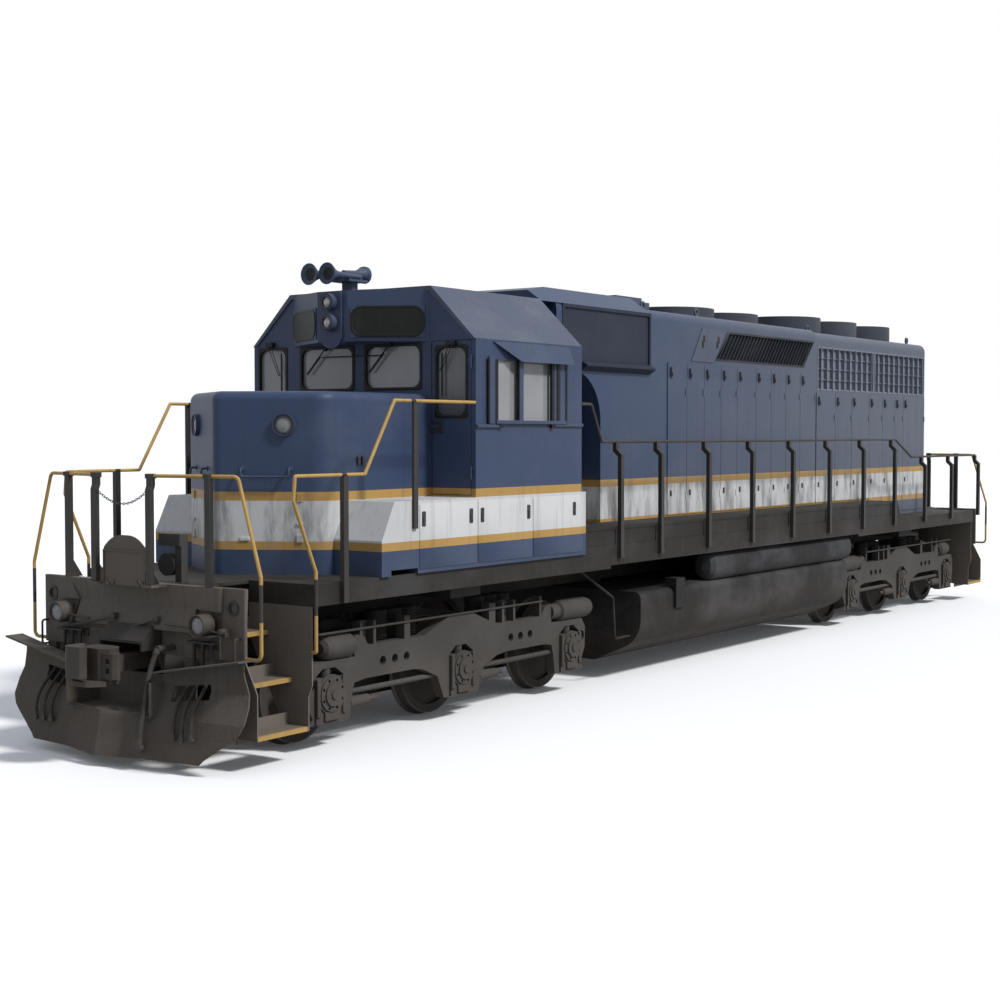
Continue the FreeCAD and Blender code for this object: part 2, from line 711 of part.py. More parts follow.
def equipment_hood():
    """Narrow section behind the cab and the raised duct on the roof."""
    neck = box(hood_front + 0.3, walkway_front, -neck_half_width, neck_half_width, deck_top, neck_top)
    front = cab_rear - 100
    duct = prism(duct_section(-3, 0), "X", duct_rear + 0.3, front)
    front_slope = prism([(front + 20, duct_foot + 130), (front + 20, hood_top + duct_rise + 25),
                         (front - 590, hood_top + duct_rise + 15)], "Y", -hood_half_width, hood_half_width)
    saddle = box(hood_front + hood_overhang + 0.3, walkway_front, -neck_half_width - 60, neck_half_width + 60,
                 neck_top - 10, duct_foot + 10)
    return fuse([neck, saddle, cut(duct, [front_slope])])


intake_rear = duct_rear
intake_front = 3744.0
intake_bottom = 3826.0
intake_rim = 40.0


def engine_hood():
    """Hollow hood over the engine, with the swept front edge and pockets for the grilles."""
    ahead = hood_front + hood_overhang
    outer = hood_shell(hood_joint, ahead, hood_top)
    inner = box(hood_joint + hood_wall, hood_front - hood_wall, -hood_half_width + hood_wall + 30,
                hood_half_width - hood_wall - 30, deck_top - 1, 3780)
    nose_cut = rounded_prism([(hood_front, deck_top - 1), (ahead + 80, deck_top - 1),
                              (ahead + 80, 3740), (hood_front, 3740)], [0, 0, 0, 600], "Y", -1000, 1000)
    duct_seat = prism(duct_section(1, 0.3), "X", duct_rear, ahead + 1)
    intake_seat = [box(intake_rear, intake_front, side * (hood_half_width - 100), side * (hood_half_width + 1),
                       intake_bottom, duct_foot) for side in (1, -1)]
    grille_seat = [prism(grille_outline(0), "Y", side * (hood_half_width - 60), side * (hood_half_width + 1))
                   for side in (1, -1)]
    neck_seat = box(hood_front - 1, ahead + 1, -neck_half_width - 0.3, neck_half_width + 0.3,
                    deck_top - 1, neck_top + 0.3)
    return cut(outer, [inner, nose_cut, duct_seat, neck_seat] + intake_seat + grille_seat)


def radiator_hood():
    """Hollow rear hood section with shallow pockets for the radiator screens."""
    shell = hood_shell(hood_rear, hood_joint - 0.3, radiator_top)
    inside = hood_half_width - hood_wall - 30
    hollow = box(hood_rear + hood_wall, hood_joint - 0.3 - hood_wall, -inside, inside, deck_top - 1,
                 screen_bottom - hood_wall)
    seats = []
    for side in (1, -1):
        for x0, x1 in screen_bays:
            seats.append(box(x0, x1, side * (hood_half_width - 60), side * (hood_half_width + 1),
                             screen_bottom, screen_top))
    return cut(shell, [hollow] + seats)


screen_bays = ((-5530.0, -3350.0), (-7770.0, -5570.0))
screen_bottom = 3660.0
screen_top = 4328.0
screen_bars = 10


def air_intakes():
    """Framed intake screens high on both sides behind the cab, with the ledge below."""
    side, rim = hood_half_width, intake_rim
    x0, x1 = intake_rear + 0.3, intake_front - 0.3
    z0, z1 = intake_bottom + 0.3, duct_foot - 0.3
    case = box(x0, x1, side - 99.7, side + 8, z0, z1)
    recess = box(x0 + rim, x1 - rim, side - 14, side + 9, z0 + rim, z1 - rim)
    ledge = prism([(side + 0.3, 3850), (side + 20, 3850), (side + 90, 3818), (side + 90, 3800), (side + 0.3, 3740)],
                  "X", intake_rear + 20, hood_front + 440)
    return solids(both_sides(fuse([cut(case, [recess]), ledge])))


grille_top = 4398.0
grille_bottom = 3983.0
grille_slats = 28


# the smooth slanted hatch ahead of each grille, in X, Z
hatch_outline = [(640, 3955), (20, 3955), (-350, 4405), (340, 4405)]


def grille_outline(margin):
    """Corners of the slanted grille over the brake resistors, in X, Z."""
    lean = margin * 1.5
    return [(-30 - lean, grille_bottom + margin), (-2850 + lean, grille_bottom + margin),
            (-3220 + lean, grille_top - margin), (-390 - lean, grille_top - margin)]


def brake_grilles():
    """Slanted frames with upright louvre slats, one each side of the roof hatch."""
    out = hood_half_width + 4
    back = hood_half_width - 45
    frame = prism(grille_outline(0.5), "Y", back, out)
    hole = prism(grille_outline(28), "Y", back - 1, out + 1)
    ring = cut(frame, [hole])
    slats = []
    low, high = grille_bottom + 20, grille_top - 20
    lean = -360.0 * (high - low) / (grille_top - grille_bottom)
    pitch = 2760.0 / grille_slats
    for i in range(grille_slats):
        x = -110 - pitch * (i + 0.2)
        slats.append(prism([(x, low), (x - 14, low), (x - 14 + lean, high), (x + lean, high)],
                           "Y", back + 4, out - 6))
    ahead = prism(hatch_outline, "Y", hood_half_width + 0.3, out + 6)
    return solids(both_sides(solids([fuse([ring] + slats), ahead])))


def radiator_screens():
    """Barred guards over the radiator air openings."""
    screens = []
    out, back = hood_half_width + 16, hood_half_width - 59
    for x0, x1 in screen_bays:
        x0, x1 = x0 + 0.3, x1 - 0.3
        z0, z1 = screen_bottom + 0.3, screen_top - 0.3
        backing = box(x0, x1, back, back + 20, z0, z1)
        rim = cut(box(x0, x1, back, hood_half_width + 4, z0, z1),
                  [box(x0 + 24, x1 - 24, back - 1, out, z0 + 24, z1 - 24)])
        pitch = (x1 - x0) / screen_bars
        bars = [box(x0 + pitch * (i + 0.5) - 9, x0 + pitch * (i + 0.5) + 9, back + 15, out, z0 + 10, z1 - 10)
                for i in range(screen_bars)]
        rows = [box(x0 + 10, x1 - 10, hood_half_width - 20, hood_half_width - 8, z - 6, z + 6)
                for z in (z0 + 0.25 * (z1 - z0), z0 + 0.5 * (z1 - z0), z0 + 0.75 * (z1 - z0))]
        screens.append(fuse([backing, rim] + bars + rows))
    return solids(both_sides(solids(screens)))


# columns: front edge, rear edge, top of each side door of the long hood
hood_doors_table = (
    (1280.0, 770.0, 3915.0), (770.0, 290.0, 3915.0), (290.0, -190.0, 3915.0), (-190.0, -670.0, 3915.0),
    (-670.0, -1250.0, 3915.0), (-1250.0, -1735.0, 3915.0), (-1735.0, -2220.0, 3915.0),
    (-2220.0, -2710.0, 3915.0), (-2710.0, -3260.0, 3915.0),
    (-3290.0, -3990.0, 3620.0), (-3990.0, -4630.0, 3620.0), (-4630.0, -5340.0, 3620.0),
    (-5340.0, -5900.0, 3620.0), (-5900.0, -6430.0, 3620.0), (-6430.0, -6800.0, 3620.0),
    (-6800.0, -7780.0, 3620.0),
)


def hood_doors():
    """Side doors of the long hood, each with its latch and two hinges."""
    doors = []
    y = hood_half_width + 0.3
    for front, rear, top in hood_doors_table:
        foot = walkway_top + 20 if front > walkway_rear - walkway_ramp else deck_top + 60
        leaf = box(rear + door_gap / 2, front - door_gap / 2, y, y + door_thickness, foot, top)
        latch = box(front - 110, front - 60, y + door_thickness - 1, y + door_thickness + 18, top - 190, top - 60)
        hinges = [box(rear + 8, rear + 40, y + door_thickness - 1, y + door_thickness + 8, z, z + 90)
                  for z in (foot + 200, top - 420)]
        doors.append(fuse([leaf, latch] + hinges))
    return solids(both_sides(solids(doors)))


def fan_places():
    """Each fan's place along the roof, roof height and top of its housing."""
    for x in brake_fan_places:
        yield x, hood_top, brake_fan_top
    for x in radiator_fan_places:
        yield x, radiator_top, radiator_fan_top


def fan_housings():
    """Round fan shrouds with a spoked guard on top and a motor post on the roof."""
    shrouds = []
    for x, roof, top in fan_places():
        base = V(x, 0, roof)
        shell = Part.makeCylinder(fan_radius, top - roof, base)
        bore = Part.makeCylinder(fan_radius - fan_shell, top - roof + 2, base - V(0, 0, 1))
        wall = shell.cut(bore)
        guard = [box(x - fan_radius + 5, x + fan_radius - 5, -7, 7, top - 12, top)]
        for k in range(1, 6):
            spoke = guard[0].copy()
            spoke.rotate(V(x, 0, 0), V(0, 0, 1), 30 * k)
            guard.append(spoke)
        for radius in (220.0, 440.0):
            ring = Part.makeCylinder(radius + 7, 12, V(x, 0, top - 12))
            guard.append(ring.cut(Part.makeCylinder(radius - 7, 14, V(x, 0, top - 13))))
        shrouds.append(fuse([wall] + guard))
    return solids(shrouds)


def fan_motors():
    """Motor posts that carry the fan rotors inside their shrouds."""
    return solids([rod(150, (x, 0, roof), (x, 0, roof + 60)) for x, roof, top in fan_places()])


def fan_rotor(x, roof, top):
    """Fan wheel: a hub and pitched blades."""
    low, high = roof + 60.3, top - 40
    hub = Part.makeCylinder(140, high - low, V(x, 0, low))
    tip = fan_radius - fan_shell - fan_blade_clearance
    middle = (low + high) / 2
    rise = min(45.0, (high - low) / 2 - 8)
    blade_section = [(-80, middle - rise), (-80, middle - rise + 9), (80, middle + rise + 9), (80, middle + rise)]
    blade = prism(blade_section, "X", 120, tip)
    blades = []
    for k in range(fan_blades):
        b = blade.copy()
        b.rotate(V(0, 0, 0), V(0, 0, 1), 360.0 * k / fan_blades)
        b.translate(V(x, 0, 0))
        blades.append(b)
    return fuse([hub] + blades)


def roof_fittings():
    """Exhaust stack and the lifting eyes along the roof."""
    stack = cut(fuse([box(740, 1500, -360, 360, hood_top, hood_top + 165),
                      box(790, 1450, -270, 270, hood_top, hood_top + 230)]),
                [box(850, 1390, -210, 210, hood_top + 110, hood_top + 240)])
    pieces = [stack]
    for x, top in ((1500.0, hood_top), (60.0, hood_top), (-3500.0, radiator_top), (-7560.0, radiator_top)):
        eye = cut(fuse([rod(55, (x, 690, top + 70), (x, 714, top + 70)),
                        box(x - 35, x + 35, 690, 714, top, top + 60)]),
                  [rod(30, (x, 680, top + 70), (x, 730, top + 70))])
        pieces += both_sides(eye)
    return solids(pieces)


def engine_block():
    """The engine and generator inside the hood, as one plain mass."""
    half = neck_half_width - 20
    return box(hood_joint + 370, hood_front - 400, -half, half, deck_top, hood_top - 878)


# ---------------------------------------------------------------- handrails
def side_post(x, top, foot):
    """A flat post bolted to the sill, cranked inwards under the rail, with a gusset at its foot."""
    y0 = frame_half_width + 0.3
    y1, crank = y0 + post_thickness, rail_setback + post_thickness
    outline = [(y0, foot), (y1, foot), (y1, top - 150), (y1 - crank, top - 85), (y1 - crank, top - 5),
               (y0 - crank, top - 5), (y0 - crank, top - 110), (y0, top - 175)]
    post = prism(outline, "X", x - post_width / 2, x + post_width / 2)
    gusset = prism([(x - 130, foot), (x - post_width / 2 + 1, foot), (x - post_width / 2 + 1, foot + 190)],
                   "Y", y0, y0 + 10)
    return fuse([post, gusset])


def side_handrails():
    """Walkway rails and their posts on both sides."""
    foot = deck_top - 90
    y = frame_half_width + 0.3 + rail_radius
    inset = frame_half_width - rail_setback - post_thickness / 2
    pieces = [side_post(x, top, foot) for x, top in walkway_posts]
    last = -stair_back - 170
    pieces.append(side_post(last, end_rail_height, foot))
    rail = bent_rod([(cab_rear - 0.3, y, 3325), (4060, y, 3325), (3735, inset, rail_height),
                     (walkway_rear, inset, rail_height), (-5830, inset, end_rail_height),
                     (last, inset, end_rail_height)],
                    rail_radius, 60)
    left = fuse(pieces + [rail])
    stair_rear = stair_back - stair_side_plate / 2
    front_rail = bent_rod([(stair_rear, stair_outer + 45.3, 1010), (stair_rear, y, 1010),
                           (stair_rear, y, 1740), (stair_rear + 290, y, 2390),
                           (stair_rear + 270, y, end_rail_height), (8010, y, end_rail_height),
                           (7570, y, 3310), (cab_front + 0.3, y, 3310)],
                          rail_radius, 14)
    front_post = box(8310 - post_width / 2, 8310 + post_width / 2, frame_half_width + 0.3,
                     frame_half_width + 0.3 + post_thickness, sill_bottom + 10, end_rail_height - 10)
    box_post = box(7290 - post_width / 2, 7290 + post_width / 2, cab_half_width + 0.3, cab_half_width + 28,
                   2068, 3300)
    front = fuse([front_rail, front_post, box_post])
    return solids(both_sides(solids([left, front])))


def gusseted_post(x, y, top, kick):
    """A flat end post with a cap, a gusset behind its foot and its top set back by kick."""
    half = post_width / 2
    outline = [(x, deck_top + 0.3), (x + post_thickness, deck_top + 0.3), (x + post_thickness, top - 130),
               (x + post_thickness - kick, top - 90), (x + post_thickness - kick, top), (x - kick, top),
               (x - kick, top - 90), (x, top - 130)]
    gusset = prism([(x + 1, deck_top + 0.3), (x - 110, deck_top + 0.3), (x + 1, deck_top + 160)],
                   "Y", y - half, y - half + 10)
    cap = box(x - kick - 8, x - kick + post_thickness + 8, y - half - 8, y + half + 8, top - 24, top + 20)
    return fuse([prism(outline, "Y", y - half, y + half), gusset, cap])


def end_handrails():
    """Posts and corner rails at one end, with the gap for the drop plate."""
    top = end_rail_height
    outer_x = end_plate_face + 4
    inner_x = end_plate_face + gate_post_reach - post_thickness / 2
    side = frame_half_width
    foot = end_plate_face - end_plate_thickness / 2
    middle = post_thickness / 2
    posts = [gusseted_post(outer_x, end_post_side, top, 0), gusseted_post(inner_x, gate_post_side, top, 16)]
    rails = [rod(rail_radius, (inner_x + middle - 16, gate_post_side, top), (outer_x + middle, end_post_side, top)),
             bent_rod([(outer_x + middle, end_post_side, top), (foot, side - 270, top), (foot, side, 1740),
                       (foot, side, 1010), (foot, end_plate_half_width + 0.3, 1010)], rail_radius, 60)]
    return solids(both_sides(fuse(posts + rails)))


def gate_chain():
    """Safety chain across the gap over the front drop plate, as a plain sagging bar."""
    x = end_plate_face + gate_post_reach
    end = gate_post_side - post_width / 2 - 4.5
    hook = end_rail_height - 150
    return bent_rod([(x, -end, hook), (x, -180, hook - 110), (x, 180, hook - 110), (x, end, hook)], 7, 150)


# ---------------------------------------------------------------- below the frame
def fuel_tank():
    """Fuel tank with its sides turned in low down, two hangers to the frame, fillers and a feed pipe."""
    w, low = tank_half_width, tank_bottom_half_width
    outline = [(-w, tank_top), (w, tank_top), (w, tank_turn_in), (low, tank_bottom), (-low, tank_bottom),
               (-w, tank_turn_in)]
    tank = rounded_prism(outline, [90, 90, 380, 160, 160, 380], "X", tank_rear, tank_front)
    hangers = [box(x, x + 160, -330, 330, tank_top - 5, centre_sill_bottom - 0.3) for x in (-2600.0, 1900.0)]
    fillers = [box(1760, 1980, side * (w + 0.3), side * (w + 40), 820, tank_top + 110) for side in (1, -1)]
    fillers += [box(1760, 1980, side * (w - 120), side * (w + 40), tank_top - 2, tank_top + 110)
                for side in (1, -1)]
    pipe = bent_rod([(3990, 1300, deck_top - deck_plate - 0.3), (3990, 1300, 1450), (3177, 1300, 1036),
                     (3133, 1300, 540), (tank_front - 1, 1300, 540)], 15, 50)
    return fuse([tank] + hangers + fillers + both_sides(pipe))


def air_reservoirs():
    """Main air reservoirs under the side sills: dished ends, flat sides, and straps from the sill."""
    r = reservoir_radius
    z, y = tank_top + 0.3 + r, reservoir_side
    length = reservoir_front - reservoir_rear
    profile = [(0, 0), (25, r * 0.7), (90, r), (length - 90, r), (length - 25, r * 0.7), (length, 0)]
    low = revolved(profile, (reservoir_rear, y, z), (1, 0, 0))
    high = low.copy()
    high.translate(V(0, 0, reservoir_stretch))
    plan = [(reservoir_rear + u, y + v) for u, v in profile]
    plan += [(reservoir_rear + u, y - v) for u, v in reversed(profile[1:-1])]
    middle = prism(plan, "Z", z, z + reservoir_stretch)
    ears = [box(x, x + 50, y - r - 10, y - 20, z + r, deck_top - deck_plate - 0.3) for x in (-2650.0, 50.0)]
    return solids(both_sides(fuse([low, high, middle] + ears)))


def horns():
    """Three trumpet horns on a stand at the front of the cab roof."""
    base = cab_roof_top
    z = base + 165
    pieces = [box(6080, 6180, -330, -190, base, base + 130)]
    pieces.append(box(5990, 6300, -400, -120, base + 110, base + 135))
    # columns: start, bell, side
    for start, bell, side in ((6080.0, 6600.0, -150.0), (6080.0, 6640.0, -370.0), (6240.0, 5900.0, -260.0)):
        run = bell - start
        sign = 1 if run > 0 else -1
        height = z if sign > 0 else z + 45
        horn = revolved([(0, 0), (abs(run), 0), (abs(run), 95), (abs(run) - 30, 80), (abs(run) - 130, 40),
                         (abs(run) - 350 if abs(run) > 400 else 20, 28), (0, 28)],
                        (start, side, height), (sign, 0, 0))
        pieces.append(horn)
        pieces.append(box(start - 10, start + 30, side - 20, side + 20, base + 120, height))
    return fuse(pieces)


def draft_box():
    """Housing of the draft gear under the frame end, open at the front for the shank."""
    x1 = end_plate_face + 240
    x0 = coupler_pin - 420
    half, plate = draft_box_half_width - 0.3, 30
    top, low = 1249.7, coupler_height - 190
    side = [(x0, low), (end_plate_face - 60, low), (end_plate_face + 60, coupler_height + 120),
            (x1, coupler_height + 120), (x1, coupler_height + 210), (end_plate_face + 110, top), (x0, top)]
    shell = prism(side, "Y", -half, half)
    hollow = box(x0 + plate, x1 + 1, -half + plate, half - plate, low + plate, coupler_height + 185)
    pin = rod(pin_radius, (coupler_pin, 0, low + 5), (coupler_pin, 0, coupler_height + 190))
    return fuse([cut(shell, [hollow]), pin])


def coupler():
    """Coupler head, knuckle and shank, swinging on the pin in the draft box."""
    z, face = coupler_height, coupler_face
    half = coupler_shank / 2
    shank = box(coupler_pin - 120, face - 380, -half, half, z - half, z + half)
    pin_end = rod(120, (coupler_pin, 0, z - 75), (coupler_pin, 0, z + 75))
    head = rounded_prism([(face - 420, -130), (face - 330, -160), (face - 80, -150), (face - 190, -20),
                          (face - 190, 110), (face - 250, 220), (face - 330, 220), (face - 420, 130)],
                         [20, 40, 15, 30, 30, 40, 40, 20], "Z", z - 150, z + 170)
    guard = rounded_prism([(face - 330, 120), (face - 200, 120), (face - 215, 270), (face - 260, 330),
                           (face - 330, 240)], [0, 20, 25, 25, 20], "Z", z - 100, z + 131)
    shelf = rounded_prism([(face - 340, -150), (face - 70, -130), (face - 60, 90), (face - 200, 200),
                           (face - 340, 200)], [20, 40, 40, 40, 20], "Z", z - 164, z - 118)
    knuckle = rounded_prism([(face - 230, -150), (face - 60, -160), (face, -100), (face, 93), (face - 90, 93),
                             (face - 110, 0), (face - 200, -50)],
                            [20, 60, 60, 25, 25, 30, 20], "Z", z - 86, z + 199)
    bore = rod(pin_radius + 0.3, (coupler_pin, 0, z - half - 1), (coupler_pin, 0, z + half + 1))
    pockets = [box(face - 240, face - 190, 190, 235, z + low, z + low + 45) for low in (-45, 40)]
    return cut(fuse([shank, pin_end, head, guard, shelf, knuckle]), [bore] + pockets)


# columns: half width of the lugs and of the notches they stand in, radius of lug and of pin
drop_plate_half_width = 285.0
plate_hinge_x = end_plate_face + platform_reach - 65
plate_hinge_z = deck_top - 12
hinge_places = (-200.0, 200.0)
lug_half_width, notch_half_width, lug_radius, hinge_pin = 12.0, 18.0, 24.0, 14.0


def plate_lug(y):
    """One hinge lug of the drop plate, standing on the shelf."""
    lug = fuse([rod(lug_radius, (plate_hinge_x, y - lug_half_width, plate_hinge_z),
                    (plate_hinge_x, y + lug_half_width, plate_hinge_z)),
                box(plate_hinge_x - lug_radius - 6, plate_hinge_x, y - lug_half_width,
                    y + lug_half_width, plate_hinge_z - lug_radius + 4, deck_top)])
    return cut(lug, [rod(hinge_pin + 0.3, (plate_hinge_x, y - 30, plate_hinge_z), (plate_hinge_x, y + 30, plate_hinge_z))])


def drop_plate():
    """Bridge plate at the end platform, stored upright: an arched panel with turned edges."""
    x, low = plate_hinge_x - 11, plate_hinge_z - 11
    half, shoulder = drop_plate_half_width, 1948.0
    crown = half - 135
    outline = [(-half, low), (half, low), (half, shoulder), (crown, 2064), (-crown, 2064), (-half, shoulder)]
    panel = rounded_prism(outline, [0, 0, 40, 300, 300, 40], "X", x, x + 10)
    rims = [box(x, x + 22, side * half, side * (half - 12), low, shoulder - 30) for side in (1, -1)]
    rims.append(box(x, x + 22, -half, half, shoulder - 34, shoulder - 20))
    sleeves = [box(x, x + 22, y - 60, y + 60, low, plate_hinge_z + 34) for y in hinge_places]
    notches = [box(x - 1, x + 23, y - notch_half_width, y + notch_half_width, low - 1, plate_hinge_z + 34)
               for y in hinge_places]
    pins = [rod(hinge_pin, (plate_hinge_x, y - 50, plate_hinge_z), (plate_hinge_x, y + 50, plate_hinge_z))
            for y in hinge_places]
    return fuse([cut(fuse([panel] + rims + sleeves), notches)] + pins)


def hose_brackets():
    """Manifold brackets for the control hoses at all four corners and the front angle cock."""
    x = end_plate_face + 0.3
    pieces = []
    half = hose_pitch + 65
    for y in (-hose_side, hose_side):
        low = control_hose_route[0][2] + 0.3
        bracket = fuse([box(x, x + 90, y - half, y + half, low + 25, low + 40),
                        box(x, x + 14, y - half, y + half, low - 30, low + 40)] +
                       [rod(20, (hose_line, y + d * hose_pitch, low), (hose_line, y + d * hose_pitch, low + 30))
                        for d in (-1, 0, 1)])
        pieces += both_ends(bracket)
    start, onward = V(*brake_hose_route[0]), V(*brake_hose_route[1])
    away = (start - onward).normalize()
    elbow = start + away * 50
    cock = fuse([rod(26, (x, elbow.y, elbow.z), (x + 150, elbow.y, elbow.z)),
                 rod(34, (x + 130, elbow.y, elbow.z), tuple(elbow + V(10, 0, 0))),
                 rod(30, tuple(elbow), tuple(start + away * 0.3))])
    pieces += both_ends(cock)
    return solids(pieces)


def platform_fittings():
    """Hand brake stand and receptacle box beside the drop plates."""
    x = end_plate_face - 170
    stand = fuse([box(x - 60, x + 20, 320, 400, deck_top + 0.3, deck_top + 444),
                  box(x - 60, x + 40, 120, 400, deck_top + 334, deck_top + 444),
                  rod(105, (x - 30, 218, deck_top + 160), (x + 40, 218, deck_top + 160))])
    return solids(both_ends(stand))


# ---------------------------------------------------------------- running gear
def wheelset():
    """Two wheels and their axle with journals, turned as one part about the Y axis."""
    tread, flange = tread_radius, tread_radius + flange_depth
    inner = back_to_back / 2
    outer = inner + rim_width
    web = inner + rim_width * 0.45
    half = [(0, 0), (1190, 0), (1190, journal_radius), (outer + 60, journal_radius), (outer + 60, axle_radius),
            (outer + 20, axle_radius), (outer + 20, hub_radius), (web + web_thickness, hub_radius),
            (web + web_thickness, tread - rim_depth), (outer, tread - rim_depth), (outer, tread),
            (inner + flange_width, tread), (inner + flange_width * 0.6, flange), (inner + 6, flange),
            (inner, tread - rim_depth), (web, tread - rim_depth), (web, hub_radius), (inner - 15, hub_radius),
            (inner - 15, axle_radius), (0, axle_radius)]
    left = revolved(half, (0, 0, 0), (0, 1, 0))
    return fuse([left, mirrored(left, (0, 1, 0))])


def at_axle(shape, x):
    """A shape moved to an axle at x."""
    moved = shape.copy()
    moved.translate(V(x, 0, axle_height))
    return moved


journal_box_width = 400.0
journal_box_top = 690.0
pedestal_gap = 5.0
pedestal_top = 780.0
cylinder_seat = 846.0
cylinder_start = 1700.0
# columns: rear and front edge of each upright plate on top of the left side frame
bracket_places = ((1580.0, 1620.0), (1380.0, 1420.0), (850.0, 940.0), (-615.0, -500.0), (-780.0, -740.0),
                  (-990.0, -950.0), (-1500.0, -1460.0))


def side_frame():
    """Cast side frame: gable over the middle axle, pedestals, lightening holes and brackets."""
    y0, y1 = side_frame_side, side_frame_side + side_frame_thickness
    top, low = 940.0, 596.0
    leg, foot = journal_box_width / 2 + pedestal_gap, 258.0
    end = cylinder_start
    right = [(0, 1097), (215, 1097), (620, top), (1500, top), (1560, 1035), (end - 25, 1060), (end, 1035),
             (end, cylinder_seat), (2330, cylinder_seat), (2410, 740), (2400, 500), (2300, foot + 60),
             (axle_spacing + leg + 90, foot), (axle_spacing + leg, foot), (axle_spacing + leg, 700),
             (axle_spacing + 90, pedestal_top), (axle_spacing - 90, pedestal_top), (axle_spacing - leg, 700),
             (axle_spacing - leg, foot), (axle_spacing - leg - 90, foot), (axle_spacing - leg - 130, 500),
             (axle_spacing - leg - 160, low), (axle_spacing - leg - 330, 618), (800, 618), (640, low),
             (leg + 200, 500), (leg + 90, foot), (leg, foot), (leg, 700), (90, pedestal_top)]
    outline = right + [(-u, v) for u, v in reversed(right) if u != 0]
    plate = prism(outline, "Y", y0, y1)
    tools = []
    for side in (1, -1):
        for u in (905, 1090, 1275):
            tools.append(rod(46, (side * u, y0 - 1, 762), (side * u, y1 + 1, 762)))
        tools.append(rod(60, (side * 2330, y0 - 1, 640), (side * 2330, y1 + 1, 640)))
    plate = cut(plate, tools)
    brackets = [box(u0, u1, y0, y1, top - 5, 1170) for u0, u1 in bracket_places]
    brackets += [box(u0, u1, y0, y0 + 20, top - 5, 1170) for u0, u1 in ((1380, 1620), (-990, -740))]
    middle = (y0 + y1) / 2
    for u0, u1 in ((430, axle_spacing - leg - 110), (leg - axle_spacing + 110, -430)):
        brackets.append(rod(27, (u0, middle, 506), (u1, middle, 506)))
    for u, run in ((axle_spacing - leg - 110, 420), (-leg - 130, 460)):
        brackets.append(revolved([(0, 0), (0, 62), (run - 120, 50), (run - 110, 24), (run, 24), (run, 0)],
                                 (u, middle, 402), (-1, 0, 0)))
    brackets.append(rod(12, (2240, y1 + 8, 1110), (-1500, y1 + 8, 1110)))
    return fuse([plate] + brackets)


def bogie_frame():
    """Two side frames joined by two transoms and the centre bowl."""
    parts = both_sides(side_frame())
    reach = side_frame_side + 5
    for u in (-axle_spacing / 2, axle_spacing / 2):
        parts.append(box(u - 120, u + 120, -reach, reach, 640, 900))
    parts.append(box(-axle_spacing / 2, axle_spacing / 2, -330, 330, 1042 - 130, pivot_seat() - 30))
    parts.append(box(-axle_spacing / 2 - 120, -axle_spacing / 2 + 120, -330, 330, 890, pivot_seat() - 30))
    parts.append(box(axle_spacing / 2 - 120, axle_spacing / 2 + 120, -330, 330, 890, pivot_seat() - 30))
    parts.append(Part.makeCylinder(300, 29.7, V(0, 0, pivot_seat() - 30)))
    return fuse(parts)


def journal_boxes():
    """Bearing boxes in the pedestals, with round covers."""
    boxes = []
    bore = journal_radius + 0.3
    for u in (-axle_spacing, 0.0, axle_spacing):
        half = journal_box_width / 2
        y0, y1 = side_frame_side - 90, side_frame_side + side_frame_thickness + 20
        spring = rod(50, (u, side_frame_side + 55, journal_box_top - 1), (u, side_frame_side + 55, pedestal_top - 0.3))
        body = fuse([spring, box(u - half, u + half, y0, y1, 262, journal_box_top),
                     rod(188, (u, y1 - 1, axle_height), (u, y1 + 16, axle_height)),
                     rod(165, (u, y1, axle_height), (u, y1 + 34, axle_height)),
                     rod(112, (u, y1 + 20, axle_height), (u, y1 + 52, axle_height)),
                     rod(45, (u, y1 + 50, axle_height), (u, y1 + 66, axle_height))])
        hollow = rod(bore, (u, y0 - 1, axle_height), (u, 1190 + running_clearance, axle_height))
        boxes += both_sides(cut(body, [hollow]))
    return solids(boxes)


# columns: end of the bogie (1 is the end of the locomotive), neck and length of its brake cylinders
brake_cylinders = ((1, 30.0, 450.0), (-1, 150.0, 830.0))
cylinder_radius = 118.0


def brake_gear():
    """Brake cylinders on the frame corners, lower cylinders and pull rods."""
    y = side_frame_side + side_frame_thickness / 2
    r = cylinder_radius
    pieces = []
    for side, neck, length in brake_cylinders:
        profile = [(0, 0), (0, 90), (neck, 90), (neck + 20, r), (length - 100, r), (length - 30, 0.85 * r),
                   (length, 0.5 * r), (length, 0)]
        pieces.append(revolved(profile, (side * (cylinder_start + 0.3), y, cylinder_seat + 0.3 + r), (side, 0, 0)))
    return solids(both_sides(solids(pieces)))


def traction_motors():
    """Nose-hung motors between the wheels, each seated against a transom."""
    motors = []
    reach = back_to_back / 2 - 30
    gap = axle_radius + running_clearance
    for u, side in ((-axle_spacing, 1), (0.0, 1), (axle_spacing, -1)):
        near, far = u + side * (gap), u + side * (axle_spacing / 2 - 120.3)
        motors.append(box(near, far, -reach + 60, reach - 200, 260, 800))
    return solids(motors)


# ---------------------------------------------------------------- hoses
hose_radius = 16.0
hose_line = end_plate_face + 50.3
hose_side = 882.0
hose_pitch = 111.0
# columns: distance ahead of the manifold, sideways lean, height of each point of a control hose
control_hose_route = ((0, 0, 1100), (0, 0, 1045), (7, 3, 972), (25, 8, 895), (58, 14, 820), (108, 22, 750),
                      (168, 31, 682), (230, 40, 612), (280, 47, 532), (308, 52, 445), (310, 53, 370))
# columns: distance ahead of the end plate, side, height of each point of the brake hose
brake_hose_points = ((225, 460, 1010), (262, 463, 945), (296, 467, 875), (326, 471, 800), (346, 475, 725),
                     (358, 479, 650), (376, 483, 575), (400, 487, 500), (424, 490, 428), (443, 492, 356),
                     (449, 492, 290))
brake_hose_route = tuple((end_plate_face + ahead, y, z) for ahead, y, z in brake_hose_points)


